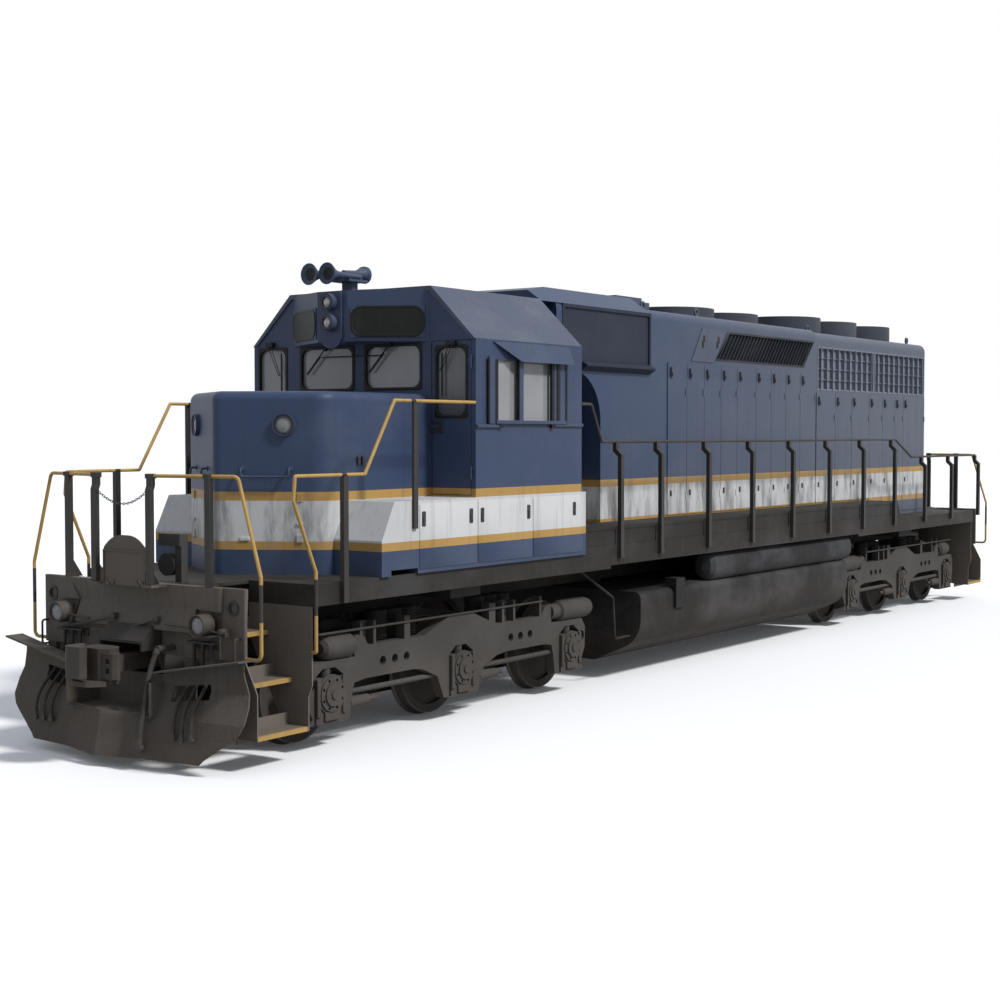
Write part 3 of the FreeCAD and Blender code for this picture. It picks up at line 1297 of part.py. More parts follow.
def hose(points, radius):
    """A hose as straight runs joined by the largest tangent arcs that its runs allow."""
    points = [V(*p) for p in points]
    edges, here, radii = [], points[0], []
    for before, corner, after in zip(points, points[1:], points[2:]):
        inward, outward = before - corner, after - corner
        shorter = min(inward.Length, outward.Length)
        turn = math.pi - inward.getAngle(outward)
        bend = 0.45 * shorter / math.tan(turn / 2)
        radii.append(bend)
        inward.normalize()
        outward.normalize()
        half = (math.pi - turn) / 2
        start, end = corner + inward * (0.45 * shorter), corner + outward * (0.45 * shorter)
        middle = corner + (inward + outward).normalize() * (bend / math.sin(half) - bend)
        edges.append(Part.LineSegment(here, start).toShape())
        edges.append(Part.Arc(start, middle, end).toShape())
        here = end
    edges.append(Part.LineSegment(here, points[-1]).toShape())
    path = Part.Wire(edges)
    ring = Part.Wire(Part.makeCircle(radius, points[0], points[1] - points[0]))
    tube = path.makePipeShell([ring], True, True)
    expected = math.pi * radius ** 2 * path.Length
    print(f"hose: length {path.Length:.0f} mm, tightest bend {min(radii):.0f} mm, "
          f"volume {tube.Volume / expected:.4f} of section times length")
    return tube


def control_hose(side, place):
    """The route of one control hose: side is 1 on the left, place is its distance from the middle hose."""
    return [(hose_line + ahead, side * (hose_side + lean) + place, z) for ahead, lean, z in control_hose_route]


def control_hoses(side):
    """Three control hoses on one side of the front coupler."""
    return solids([hose(control_hose(side, place), hose_radius) for place in (-hose_pitch, 0, hose_pitch)])


def hose_coupling(route, neck, head):
    """The neck and round head at a hose's lower end, in line with its last run."""
    end = V(*route[-1])
    onward = (end - V(*route[-2])).normalize()
    centre = end + onward * 2.8 * neck
    return fuse([rod(neck, tuple(end + onward * 0.3), tuple(centre)),
                 rod(head, tuple(centre - V(head / 2, 0, 0)), tuple(centre + V(head / 2, 0, 0)))])


def hose_couplings():
    """Couplings at the lower ends of the front hoses."""
    pieces = [hose_coupling(control_hose(side, place), 19, 28) for side in (1, -1)
              for place in (-hose_pitch, 0, hose_pitch)]
    return solids(pieces + [hose_coupling(brake_hose_route, 31, 42)])


# ---------------------------------------------------------------- build
def main():
    """Make every node and write it to its own file."""
    os.makedirs("parts", exist_ok=True)
    nodes = {
        "underframe": underframe(),
        "end_plates": solids(both_ends(end_plate())),
        "end_stairs": solids(both_ends(solids(both_sides(stairs())))),
        "snow_plough": snow_plough(),
        "nose_hood": nose_hood(),
        "equipment_boxes": side_box(),
        "cab_body": cab_body(),
        "cab_roof": cab_roof(),
        "window_panes": window_panes(),
        "front_door": front_door(),
        "rear_door": rear_door(),
        "number_board_housing": number_board_housing(),
        "lamps": lamps(),
        "sunshades": sunshades(),
        "cab_fittings": cab_fittings(),
        "equipment_hood": equipment_hood(),
        "engine_hood": engine_hood(),
        "radiator_hood": radiator_hood(),
        "air_intakes": air_intakes(),
        "brake_grilles": brake_grilles(),
        "radiator_screens": radiator_screens(),
        "hood_doors": hood_doors(),
        "fan_housings": solids([fan_housings(), fan_motors()]),
        "roof_fittings": roof_fittings(),
        "engine_block": engine_block(),
        "side_handrails": side_handrails(),
        "end_handrails": solids(both_ends(end_handrails())),
        "gate_chain": gate_chain(),
        "fuel_tank": fuel_tank(),
        "air_reservoirs": air_reservoirs(),
        "horns": horns(),
        "draft_boxes": solids(both_ends(draft_box())),
        "platform_fittings": solids([platform_fittings(), hose_brackets()]),
        "control_hoses_left": control_hoses(1),
        "control_hoses_right": control_hoses(-1),
        "brake_hose": hose(brake_hose_route, 24.0),
        "hose_couplings": hose_couplings(),
    }
    nodes["coupler_front"], nodes["coupler_rear"] = both_ends(coupler())
    nodes["drop_plate_front"], nodes["drop_plate_rear"] = both_ends(drop_plate())
    for number, place in enumerate(fan_places(), 1):
        nodes[f"fan_{number}"] = fan_rotor(*place)
    axle = wheelset()
    frame, bearings, brakes, motors = bogie_frame(), journal_boxes(), brake_gear(), traction_motors()
    number = 0
    for name, x in (("front", bogie_spacing / 2), ("rear", -bogie_spacing / 2)):
        for label, shape in (("frame", frame), ("journal_boxes", bearings), ("brake_gear", brakes),
                             ("traction_motors", motors)):
            moved = shape.copy()
            if name == "rear":
                moved.rotate(V(0, 0, 0), V(0, 0, 1), 180)
            moved.translate(V(x, 0, 0))
            nodes[f"{name}_bogie_{label}"] = moved
        for offset in (axle_spacing, 0, -axle_spacing):
            number += 1
            nodes[f"wheelset_{number}"] = at_axle(axle, x + offset)
    for name, shape in nodes.items():
        count = len(shape.Solids)
        state = "" if shape.isValid() else "  INVALID"
        print(f"{name}: {count} solids, {shape.Volume / 1e9:.4f} m3{state}")
        shape.exportStep(f"parts/{name}.step")
    print(f"{len(nodes)} nodes")


main()
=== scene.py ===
# %% [markdown]
# # A six-axle diesel locomotive, dressed for its portrait
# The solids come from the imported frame. This notebook lights them, gives each one its
# finish, and adds the small things that a CAD model leaves out.

# %% Set up
import math
import bmesh
import bpy
import numpy as np
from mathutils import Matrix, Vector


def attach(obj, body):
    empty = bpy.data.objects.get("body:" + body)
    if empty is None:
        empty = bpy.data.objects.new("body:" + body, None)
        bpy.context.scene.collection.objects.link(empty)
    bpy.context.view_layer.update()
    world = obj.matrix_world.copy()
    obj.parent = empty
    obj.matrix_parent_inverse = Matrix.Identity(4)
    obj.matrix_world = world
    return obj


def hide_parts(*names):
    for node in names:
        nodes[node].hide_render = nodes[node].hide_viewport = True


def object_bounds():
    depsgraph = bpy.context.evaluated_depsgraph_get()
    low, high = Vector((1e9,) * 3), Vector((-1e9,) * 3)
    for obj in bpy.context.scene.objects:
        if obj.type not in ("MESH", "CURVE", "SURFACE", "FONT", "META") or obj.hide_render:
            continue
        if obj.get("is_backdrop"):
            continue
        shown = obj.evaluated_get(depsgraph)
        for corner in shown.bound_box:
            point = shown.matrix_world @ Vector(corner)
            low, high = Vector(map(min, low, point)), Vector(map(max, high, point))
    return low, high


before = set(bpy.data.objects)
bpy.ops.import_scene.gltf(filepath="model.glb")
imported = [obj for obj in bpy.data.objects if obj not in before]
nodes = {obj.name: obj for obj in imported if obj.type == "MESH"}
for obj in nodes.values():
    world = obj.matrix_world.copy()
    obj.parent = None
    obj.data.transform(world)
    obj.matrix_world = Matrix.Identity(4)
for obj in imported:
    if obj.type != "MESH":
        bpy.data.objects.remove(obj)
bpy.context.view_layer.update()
scene = bpy.context.scene


def add_object(name, data):
    """A new object at the origin, linked into the scene."""
    made = bpy.data.objects.new(name, data)
    scene.collection.objects.link(made)
    return made


# %% [markdown]
# A long object seen from low and near its front corner needs a camera at a given place.
# Its heading and tilt are two angles, and the lens sets how much of the length is squeezed.

# %% Camera
camera_data = bpy.data.cameras.new("portrait_lens")
camera_data.sensor_width = 36.0
camera_data.lens = 57.61
camera_data.clip_end = 400.0
camera = add_object("portrait_camera", camera_data)
camera.location = (19.442, 11.298, 2.988)
heading, tilt = math.radians(-144.370), math.radians(-2.362)
camera.rotation_euler = (math.pi / 2 + tilt, 0.0, heading - math.pi / 2)
scene.camera = camera
print("camera at", tuple(camera.location))

# %% [markdown]
# Hoses come next, because their lie decides how much room the object takes. Each is a
# smooth spline through a few given points, from its fitting down to its coupling.
# Six thin control hoses hang in two fans of three, and one thicker brake hose hangs
# from its cock beside the coupler.


# %% Hoses
def hose(name, points, diameter):
    """A round hose: a NURBS spline of order 3 whose control points are the route's corners."""
    curve = bpy.data.curves.new(name, "CURVE")
    curve.dimensions = "3D"
    spline = curve.splines.new("NURBS")
    spline.points.add(len(points) - 1)
    for control, point in zip(spline.points, points):
        control.co = (*point, 1.0)
        control.radius = diameter / 2
    spline.order_u = 3
    spline.use_endpoint_u = True
    spline.resolution_u = 10
    curve.bevel_depth = 1.0  # one metre, scaled down by each point's radius
    curve.bevel_resolution = 5
    piece = add_object(name, curve)
    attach(piece, "carbody")
    return piece


# (ahead of the hose line, out from the middle hose, height)
control_route = (
    (0.0, 0.0, 1.100), (0.0, 0.0, 1.045), (0.007, 0.003, 0.972), (0.025, 0.008, 0.895),
    (0.058, 0.014, 0.820), (0.108, 0.022, 0.750), (0.168, 0.031, 0.682), (0.230, 0.040, 0.612),
    (0.280, 0.047, 0.532), (0.308, 0.052, 0.445), (0.310, 0.053, 0.370),
)
hose_line, hose_side, hose_pitch = 9.4503, 0.882, 0.111
hoses = []
for side, label in ((1, "left"), (-1, "right")):
    for place, ordinal in ((-hose_pitch, "1"), (0.0, "2"), (hose_pitch, "3")):
        points = [(hose_line + ahead, side * (hose_side + lean) + place, z)
                  for ahead, lean, z in control_route]
        piece = hose("control_hose_" + label + "_" + ordinal, points, 0.032)
        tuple(points[0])
        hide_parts("control_hoses_" + label)
        hoses.append(piece)

# (ahead of the end plate, side, height)
brake_points = (
    (0.225, 0.460, 1.010), (0.262, 0.463, 0.945), (0.296, 0.467, 0.875), (0.326, 0.471, 0.800),
    (0.346, 0.475, 0.725), (0.358, 0.479, 0.650), (0.376, 0.483, 0.575), (0.400, 0.487, 0.500),
    (0.424, 0.490, 0.428), (0.443, 0.492, 0.356), (0.449, 0.492, 0.290),
)
end_plate = 9.400
brake_route = [(end_plate + ahead, y, z) for ahead, y, z in brake_points]
brake_hose = hose("brake_hose_line", brake_route, 0.048)
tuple(brake_route[0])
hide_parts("brake_hose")
hoses.append(brake_hose)
print("hoses:", len(hoses))

# %% [markdown]
# Every finish is built from a few shared node groups. Each group works in the object's own
# metres, so a stripe, a streak or a casting's grain has its real size wherever it lies, and
# the same stripe runs on from one panel to the next. The groups give only colours, masks
# and numbers; the shader itself stays in each material.


# %% Node helpers
def feed(tree, socket, value):
    """Joins another node's output to a socket, or sets the socket's number or colour."""
    if isinstance(value, bpy.types.NodeSocket):
        tree.links.new(value, socket)
    else:
        socket.default_value = value


def feed_all(tree, node, **values):
    """Feeds a node's inputs by name, with underscores for spaces."""
    for label, value in values.items():
        feed(tree, node.inputs[label.replace("_", " ")], value)


def maths(tree, operation, a, b=0.0, c=0.0, clamp=False):
    """One Math node, and its output."""
    node = tree.nodes.new("ShaderNodeMath")
    node.operation, node.use_clamp = operation, clamp
    for socket, value in zip(node.inputs, (a, b, c)):
        feed(tree, socket, value)
    return node.outputs[0]


def times(tree, a, b, clamp=False):
    """The product of two numbers."""
    return maths(tree, "MULTIPLY", a, b, clamp=clamp)


def mixed(tree, factor, a, b):
    """One colour Mix node, whose colours are its inputs 6 and 7, and its output."""
    node = tree.nodes.new("ShaderNodeMix")
    node.data_type = "RGBA"
    for index, value in ((0, factor), (6, a), (7, b)):
        feed(tree, node.inputs[index], value)
    return node.outputs[2]


def between(tree, value, low, high):
    """A mask: 1 where low <= value <= high."""
    return maths(tree, "COMPARE", value, (low + high) / 2, (high - low) / 2)


def ramp(tree, value, low, high):
    """A smooth step from 0 at low to 1 at high, or the other way if low is larger."""
    node = tree.nodes.new("ShaderNodeMapRange")
    node.interpolation_type = "SMOOTHSTEP"
    feed_all(tree, node, Value=value, From_Min=low, From_Max=high)
    return node.outputs[0]


def noise(tree, point, stretch, detail, roughness=0.55):
    """Fractal noise whose grain along x, y and z is 1 / stretch metres."""
    scaled = tree.nodes.new("ShaderNodeVectorMath")
    scaled.operation = "MULTIPLY"
    feed(tree, scaled.inputs[0], point)
    feed(tree, scaled.inputs[1], stretch)
    node = tree.nodes.new("ShaderNodeTexNoise")
    feed_all(tree, node, Vector=scaled.outputs[0], Scale=1.0, Detail=detail, Roughness=roughness)
    return node.outputs[0]


def object_point(tree):
    """Where a point lies in its object's own metres."""
    return tree.nodes.new("ShaderNodeTexCoord").outputs["Object"]


def axes(tree, point):
    """The x, y and z of a point, as three outputs."""
    split = tree.nodes.new("ShaderNodeSeparateXYZ")
    feed(tree, split.inputs[0], point)
    return split.outputs


def new_group(name, inputs, outputs):
    """An empty node group with named sockets: (group, its input sockets, its output sockets)."""
    group = bpy.data.node_groups.new(name, "ShaderNodeTree")
    for label, kind, default in inputs:
        socket = group.interface.new_socket(label, in_out="INPUT", socket_type="NodeSocket" + kind)
        if default is not None:
            socket.default_value = default
    for label, kind in outputs:
        group.interface.new_socket(label, in_out="OUTPUT", socket_type="NodeSocket" + kind)
    given = group.nodes.new("NodeGroupInput").outputs
    result = group.nodes.new("NodeGroupOutput").inputs
    return group, given, result


def use_group(tree, group, **values):
    """One use of a group, with its inputs by name."""
    node = tree.nodes.new("ShaderNodeGroup")
    node.node_tree = group
    feed_all(tree, node, **values)
    return node.outputs


def new_material(name):
    """A new material, its node tree and its shader."""
    made = bpy.data.materials.new(name)
    made.use_nodes = True
    return made, made.node_tree, made.node_tree.nodes["Principled BSDF"]


print("node helpers ready")

# %% [markdown]
# The floor is a plain pale sheet that catches a soft shadow. The eye, metal and glass see
# floor and world as white, while the paint is lit by a darker ground and a softer sky, as
# it is on ballast out of doors. One wide lamp stands high on the near side, so that the
# long flank is bright, the front end stays in half shade, and the bogies keep their depth.


# %% Light and floor
def seen_directly(tree):
    """A mask: 1 for camera, glossy and transmission rays, 0 for light that falls on the paint."""
    rays = tree.nodes.new("ShaderNodeLightPath").outputs
    eye_or_metal = maths(tree, "MAXIMUM", rays["Is Camera Ray"], rays["Is Glossy Ray"])
    return maths(tree, "MAXIMUM", eye_or_metal, rays["Is Transmission Ray"])


white = (1, 1, 1, 1)
reach, floor_z = 150.0, -0.002
sheet = bpy.data.meshes.new("floor")
sheet.from_pydata([(-reach, -reach, floor_z), (reach, -reach, floor_z), (reach, reach, floor_z),
                   (-reach, reach, floor_z)], [], [(0, 1, 2, 3)])
floor = add_object("floor", sheet)
floor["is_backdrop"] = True
floor_paint, tree, shader = new_material("floor_paint")
direct = seen_directly(tree)
feed_all(tree, shader, Emission_Strength=times(tree, direct, 0.03), Emission_Color=white, Roughness=0.9,
         Base_Color=mixed(tree, direct, (0.26, 0.255, 0.25, 1), (0.97, 0.97, 0.97, 1)))
floor.data.materials.append(floor_paint)

world = bpy.data.worlds.new("white_room")
scene.world = world
world.use_nodes = True
sky = world.node_tree
feed_all(sky, sky.nodes["Background"], Strength=1.0,
         Color=mixed(sky, seen_directly(sky), (0.41, 0.44, 0.5, 1), white))

key = add_object("key_lamp", bpy.data.lights.new("key_lamp", "SUN"))
key.data.energy = 2.9
key.data.angle = math.radians(8)
key.rotation_euler = (math.radians(-44), math.radians(-8), 0.0)
scene.view_settings.view_transform = "Standard"
print("floor at", floor_z, "and one lamp")

# %% [markdown]
# The livery is dark blue with one level sash along the whole body: a white band between
# two narrow gold lines. On the real thing the sash is masked and sprayed at one height
# above the rail, so here it depends on height alone. The long hood's paint has faded more
# than the cab's, and soot has settled in the white band behind the cab, so the group turns
# it greyer there. The white and gold on the nose's front faces are greyed too: that is
# painted shade, mottled by the same noise.

# %% Livery sash
livery, given, result = new_group(
    "livery_sash",
    (("Point", "Vector", None), ("Blue", "Color", (0.036, 0.056, 0.11, 1)),
     ("Faded", "Color", (0.08, 0.095, 0.128, 1)), ("Gold", "Color", (0.42, 0.25, 0.07, 1)),
     ("White", "Color", (0.56, 0.56, 0.555, 1)), ("Soot And Shade", "Color", (0.17, 0.165, 0.155, 1))),
    (("Color", "Color"),),
)
x, y, height = axes(livery, given["Point"])
blue = mixed(livery, ramp(livery, x, 4.4, -5.5), given["Blue"], given["Faded"])
smears = noise(livery, given["Point"], (4.5, 4.5, 1.1), 5.0, 0.68)
on_hood = ramp(livery, x, 4.3, 4.0)
near_middle = ramp(livery, maths(livery, "ABSOLUTE", y), 0.97, 0.95)
# Painted shade: the nose's front faces, away from its sides, take the soot colour in the white and gold.
# Behind the cab the soot is real.
on_nose = times(livery, ramp(livery, x, 7.55, 7.75), near_middle)
soot_and_nose_shade = times(livery, maths(livery, "MAXIMUM", on_hood, on_nose), ramp(livery, smears, 0.4, 0.66))
band = mixed(livery, times(livery, soot_and_nose_shade, 0.85), given["White"], given["Soot And Shade"])
line = mixed(livery, times(livery, soot_and_nose_shade, 0.4), given["Gold"], given["Soot And Shade"])
sash, white_band = (1.867, 2.429), (1.948, 2.342)
striped = mixed(livery, between(livery, height, *sash), blue, line)
feed(livery, result["Color"], mixed(livery, between(livery, height, *white_band), striped, band))
print("sash between heights", sash)

# %% [markdown]
# Weather leaves three marks on a locomotive: paint that chalks in soft patches, grey
# streaks that rain draws straight down, and brown dust that the wheels throw up and that
# thins out with height. One group adds them to any colour, and says how rough the
# surface is there and how high its fine grain stands.

# %% Weathering
weather, given, result = new_group(
    "weathering",
    (("Point", "Vector", None), ("Color", "Color", (0.5, 0.5, 0.5, 1)),
     ("Dust Color", "Color", (0.115, 0.096, 0.078, 1)), ("Dust Top", "Float", 2.4), ("Dust", "Float", 0.0),
     ("Streaks", "Float", 0.0), ("Chalk", "Float", 0.0), ("Rough", "Float", 0.4)),
    (("Color", "Color"), ("Roughness", "Float"), ("Height", "Float")),
)
patches = noise(weather, given["Point"], (0.9, 0.9, 1.3), 5.0, 0.6)
streaks = noise(weather, given["Point"], (13.0, 13.0, 0.75), 4.0, 0.62)
grain = noise(weather, given["Point"], (38.0, 38.0, 38.0), 3.0, 0.6)
low = ramp(weather, axes(weather, given["Point"])["Z"], given["Dust Top"], 0.25)
clumps = ramp(weather, maths(weather, "ADD", patches, times(weather, grain, 0.35)), 0.35, 0.85)
dusty = times(weather, times(weather, low, given["Dust"]), clumps, clamp=True)
runs = times(weather, ramp(weather, streaks, 0.5, 0.72), given["Streaks"], clamp=True)
chalk = times(weather, ramp(weather, patches, 0.42, 0.7), given["Chalk"])
chalky = mixed(weather, chalk, given["Color"], (0.2, 0.205, 0.22, 1))
run_down = mixed(weather, runs, chalky, (0.04, 0.036, 0.032, 1))
rough = maths(weather, "ADD", given["Rough"], times(weather, patches, 0.16))
feed(weather, result["Color"], mixed(weather, dusty, run_down, given["Dust Color"]))
feed(weather, result["Roughness"], maths(weather, "ADD", rough, times(weather, dusty, 0.35), clamp=True))
feed(weather, result["Height"], maths(weather, "ADD", grain, times(weather, patches, 0.4)))
print("weathering ready")

# %% [markdown]
# A finish is one shader fed by the groups. The numbers that don't vary, such as how
# metallic it is, are set on the shader itself, and a finish that names no dust, streaks or
# chalk has none.


# %% Finishes
def material(name, color, bump, specular=0.5, grain=0.004, metallic=0.0, coat=0.0, **wear):
    """A material: one colour, or the sash for None, then weathering, the shader and its bump."""
    made, tree, shader = new_material(name)
    point = object_point(tree)
    if color is None:
        color = use_group(tree, livery, Point=point)["Color"]
    worn = use_group(tree, weather, Point=point, Color=color, **wear)
    relief = tree.nodes.new("ShaderNodeBump")
    feed_all(tree, relief, Strength=bump, Distance=grain, Height=worn["Height"])
    feed_all(tree, shader, Base_Color=worn["Color"], Roughness=worn["Roughness"],
             Normal=relief.outputs[0], Metallic=metallic, Specular_IOR_Level=specular,
             Coat_Weight=coat, Coat_Roughness=0.25)
    return made


livery_paint = material("livery_paint", None, bump=0.12, specular=0.22,
                        Rough=0.42, Dust_Top=2.0, Dust=0.35, Streaks=0.22, Chalk=0.1)
plain_blue = material("plain_blue", (0.04, 0.058, 0.108, 1), bump=0.12, specular=0.25,
                      Rough=0.45, Streaks=0.25, Chalk=0.12)
roof_paint = material("roof_paint", (0.062, 0.078, 0.118, 1), bump=0.2, specular=0.3,
                      Rough=0.55, Streaks=0.25, Chalk=0.3)
fan_case_paint = material("fan_case_paint", (0.036, 0.043, 0.058, 1), bump=0.2, specular=0.3,
                          Rough=0.6, Streaks=0.35, Chalk=0.15)
frame_paint = material("frame_paint", (0.014, 0.013, 0.0118, 1), bump=0.3, grain=0.006, specular=0.2,
                       Rough=0.6, Dust=0.32, Streaks=0.4, Chalk=0.12)
# Much lighter than the frame's own black-brown: painted light on the end plates and the front drop plate,
# which the lamp leaves in half shade. The dust, streaks and chalk are real.
end_paint_with_painted_light = material("end_paint_with_painted_light", (0.118, 0.102, 0.085, 1), bump=0.35, grain=0.006, specular=0.25,
                     Rough=0.6, Dust_Top=2.2, Dust=0.4, Streaks=0.35, Chalk=0.08)
# Lighter than the frame's black-brown: partly painted light on the front end, partly the plough's own rusty
# brown.
plough_paint_with_painted_light = material("plough_paint_with_painted_light", (0.079, 0.068, 0.056, 1), bump=0.45, grain=0.008, specular=0.25,
                        Rough=0.65, Dust_Top=1.6, Dust=0.65, Streaks=0.45, Chalk=0.24)
tank_paint = material("tank_paint", (0.013, 0.013, 0.0135, 1), bump=0.3, grain=0.006, specular=0.15,
                      Rough=0.6, Dust_Top=1.5, Dust=0.4, Streaks=0.4, Chalk=0.24)
cast_paint = material("cast_paint", (0.046, 0.043, 0.04, 1), bump=0.5, grain=0.006, specular=0.25,
                      Rough=0.65, Dust_Top=1.4, Dust=0.4, Streaks=0.3, Chalk=0.12)
motor_paint = material("motor_paint", (0.024, 0.022, 0.02, 1), bump=0.4, grain=0.006, specular=0.2,
                       Rough=0.7, Dust_Top=1.6, Dust=0.5, Streaks=0.2, Chalk=0.05)
screen_paint = material("screen_paint", (0.019, 0.025, 0.042, 1), bump=0.3, specular=0.2,
                        Rough=0.6, Streaks=0.4, Chalk=0.05)
coupler_steel = material("coupler_steel", (0.04, 0.033, 0.028, 1), bump=0.5, grain=0.006, specular=0.3,
                         Rough=0.6, Dust_Top=1.6, Dust=0.35, Streaks=0.2, Chalk=0.08)
dark_steel = material("dark_steel", (0.04, 0.037, 0.034, 1), bump=0.3, metallic=0.3, specular=0.3,
                      Rough=0.5, Dust_Top=1.6, Dust=0.35, Streaks=0.2, Chalk=0.1)
fan_metal = material("fan_metal", (0.2, 0.205, 0.21, 1), bump=0.15, metallic=0.5,
                     Rough=0.5, Streaks=0.3, Chalk=0.2)
cab_grey = material("cab_grey", (0.22, 0.225, 0.22, 1), bump=0.1, Rough=0.6, Chalk=0.1)
rubber = material("rubber", (0.02, 0.019, 0.018, 1), bump=0.3, grain=0.002, specular=0.3,
                  Rough=0.65, Dust_Top=1.4, Dust=0.35, Chalk=0.1)
engine_paint = material("engine_paint", (0.08, 0.085, 0.09, 1), bump=0.3,
                        Rough=0.6, Dust=0.2, Streaks=0.1, Chalk=0.1)
print("finishes:", len(bpy.data.materials))

# %% [markdown]
# Some solids carry two colours, because the yard paints the parts that hands and feet look
# for: grab rails and stair nosings are gold on otherwise black ironwork. Each mask below
# says, from the place alone, where the gold is: rails but not their flat posts, with a
# worn black stretch at hand height, and the outer lip of each stair tread. The same trick
# parts the dark louvres from their blue hatch, the radiator's paler core from its guard,
# and the dirty ditch lights from the clean lamps above. The radiator's pale core is
# painted light against the shade of its recess.


# %% Gold on the ironwork
def away(tree, value, place, reach):
    """A mask: 0 within reach of a place, 1 elsewhere; the value's sign is dropped first."""
    near = maths(tree, "COMPARE", maths(tree, "ABSOLUTE", value), place, reach)
    return maths(tree, "SUBTRACT", 1.0, near)


def two_tone(name, mask_of, ground, mark=(0.46, 0.29, 0.085, 1), **wear):
    """One finish of two colours: the mark's colour where mask_of(tree, x, y, z) is 1."""
    made = material(name, ground, bump=0.25, specular=0.3, **wear)
    tree = made.node_tree
    mask = mask_of(tree, *axes(tree, object_point(tree)))
    feed_all(tree, tree.nodes["Group"], Color=mixed(tree, mask, ground, mark))
    return made


worn = (1.51, 0.165)  # middle and half length of the stretch that gloves have worn black


def end_rail_gold(tree, x, y, z):
    """Gold rods between and outside the flat posts of the end platforms."""
    posts = times(tree, away(tree, y, 0.945, 0.042), away(tree, y, 0.368, 0.042))
    return times(tree, posts, away(tree, z, *worn))


def side_rail_gold(tree, x, y, z):
    """The rail that climbs from the front stair to the cab is gold, its two posts black."""
    ahead = ramp(tree, x, 6.2, 6.21)
    posts = times(tree, away(tree, x, 8.31, 0.034), away(tree, x, 7.29, 0.034))
    return times(tree, times(tree, ahead, posts), away(tree, z, *worn))


def nosing_gold(tree, x, y, z):
    """The outer lip of each stair tread, between the stair's side plates."""
    outboard = maths(tree, "ABSOLUTE", y)
    lips = 0.0
    for tread, lip in ((0.327, 1.455), (0.762, 1.263), (1.176, 0.963)):
        at_tread = maths(tree, "COMPARE", z, tread, 0.046)
        at_lip = maths(tree, "COMPARE", outboard, lip, 0.034)
        lips = maths(tree, "MAXIMUM", lips, times(tree, at_tread, at_lip))
    return times(tree, lips, maths(tree, "COMPARE", maths(tree, "ABSOLUTE", x), 9.03, 0.318))


def hatch_blue(tree, x, y, z):
    """The smooth hatch ahead of the slanted louvres is blue; the edge leans back as it climbs."""
    lean = times(tree, maths(tree, "SUBTRACT", z, 3.983), 0.867)
    return ramp(tree, maths(tree, "ADD", x, lean), -0.018, -0.016)


def lit_radiator_core(tree, x, y, z):
    """The radiator's core, deep behind its guard bars, is painted paler: painted light against the shade of
    the recess.
    """
    return ramp(tree, maths(tree, "ABSOLUTE", y), 0.912, 0.908)


def ahead_of_deck(tree, x, y, z):
    """The ditch lights hang on the end plate, ahead of every other lamp."""
    return ramp(tree, x, 9.2, 9.21)


iron = (0.026, 0.0235, 0.021, 1)
worn_iron = dict(Rough=0.5, Dust_Top=2.2, Dust=0.25, Streaks=0.25, Chalk=0.08)
end_rail_paint = two_tone("end_rail_paint", end_rail_gold, iron, **worn_iron)
side_rail_paint = two_tone("side_rail_paint", side_rail_gold, iron, **worn_iron)
# The stairs' ground is lighter than black ironwork: painted light on stairs that the lamp leaves in shade.
# The gold lips are real paint.
stair_paint_with_painted_light = two_tone("stair_paint_with_painted_light", nosing_gold, (0.15, 0.13, 0.108, 1), **worn_iron)
grille_paint = two_tone("grille_paint", hatch_blue, (0.007, 0.009, 0.0155, 1), (0.06, 0.074, 0.11, 1),
                        Rough=0.5, Streaks=0.3, Chalk=0.15)
# Both colours are painted light: the guard's bars and the deep core are paler than the hood's blue, against
# the shade in the recess.
shutter_paint_with_painted_light = two_tone("shutter_paint_with_painted_light", lit_radiator_core, (0.165, 0.185, 0.225, 1),
                         (0.185, 0.205, 0.245, 1), Rough=0.55, Streaks=0.35, Chalk=0.15)
lamp_paint = two_tone("lamp_paint", ahead_of_deck, (0.036, 0.052, 0.098, 1), (0.06, 0.052, 0.044, 1),
                      Rough=0.5, Dust=0.2, Streaks=0.2, Chalk=0.1)
print("finishes now:", len(bpy.data.materials))

# %% [markdown]
# Wheels wear a little brighter where they meet the rail and the brake blocks, and stay
# rusty, oily brown elsewhere. The mask is the distance from the axle, so it turns with
# the wheel.

# %% Wheels
bogie_pivots = (("front_bogie", 6.096), ("rear_bogie", -6.096))
wheel_places = (2.07, 0.0, -2.07)
axle_z = 0.536


def wheel_material(name, axle_x):
    """Steel that is bright at the tread's radius and rusty, oily brown inside it."""
    made = material(name, (0.034, 0.029, 0.025, 1), bump=0.35, specular=0.25,
                    Rough=0.62, Dust_Top=3.0, Dust=0.3, Chalk=0.05)
    tree = made.node_tree
    shader = tree.nodes["Principled BSDF"]
    x, y, z = axes(tree, object_point(tree))
    ahead, above = maths(tree, "SUBTRACT", x, axle_x), maths(tree, "SUBTRACT", z, axle_z)
    radius = maths(tree, "SQRT", maths(tree, "ADD", times(tree, ahead, ahead), times(tree, above, above)))
    on_rim = ramp(tree, maths(tree, "ABSOLUTE", y), 0.86, 0.84)
    tread = times(tree, ramp(tree, radius, 0.49, 0.504), on_rim)
    brown, dull = [shader.inputs[label].links[0].from_socket for label in ("Base Color", "Roughness")]
    feed_all(tree, shader, Base_Color=mixed(tree, tread, brown, (0.085, 0.078, 0.07, 1)),
             Metallic=times(tree, tread, 0.35),
             Roughness=maths(tree, "SUBTRACT", dull, times(tree, tread, 0.2), clamp=True))
    return made


axle_places = [pivot + along for bogie, pivot in bogie_pivots for along in wheel_places]
wheel_paints = [wheel_material("wheel_steel_" + str(n + 1), x) for n, x in enumerate(axle_places)]
print("wheel finishes:", len(wheel_paints))

# %% [markdown]
# Cab glass is thick, tinted and a little dirty. One slow noise stands for its film of
# dust, and varies the tint, the gloss and how far one sees through the pane.

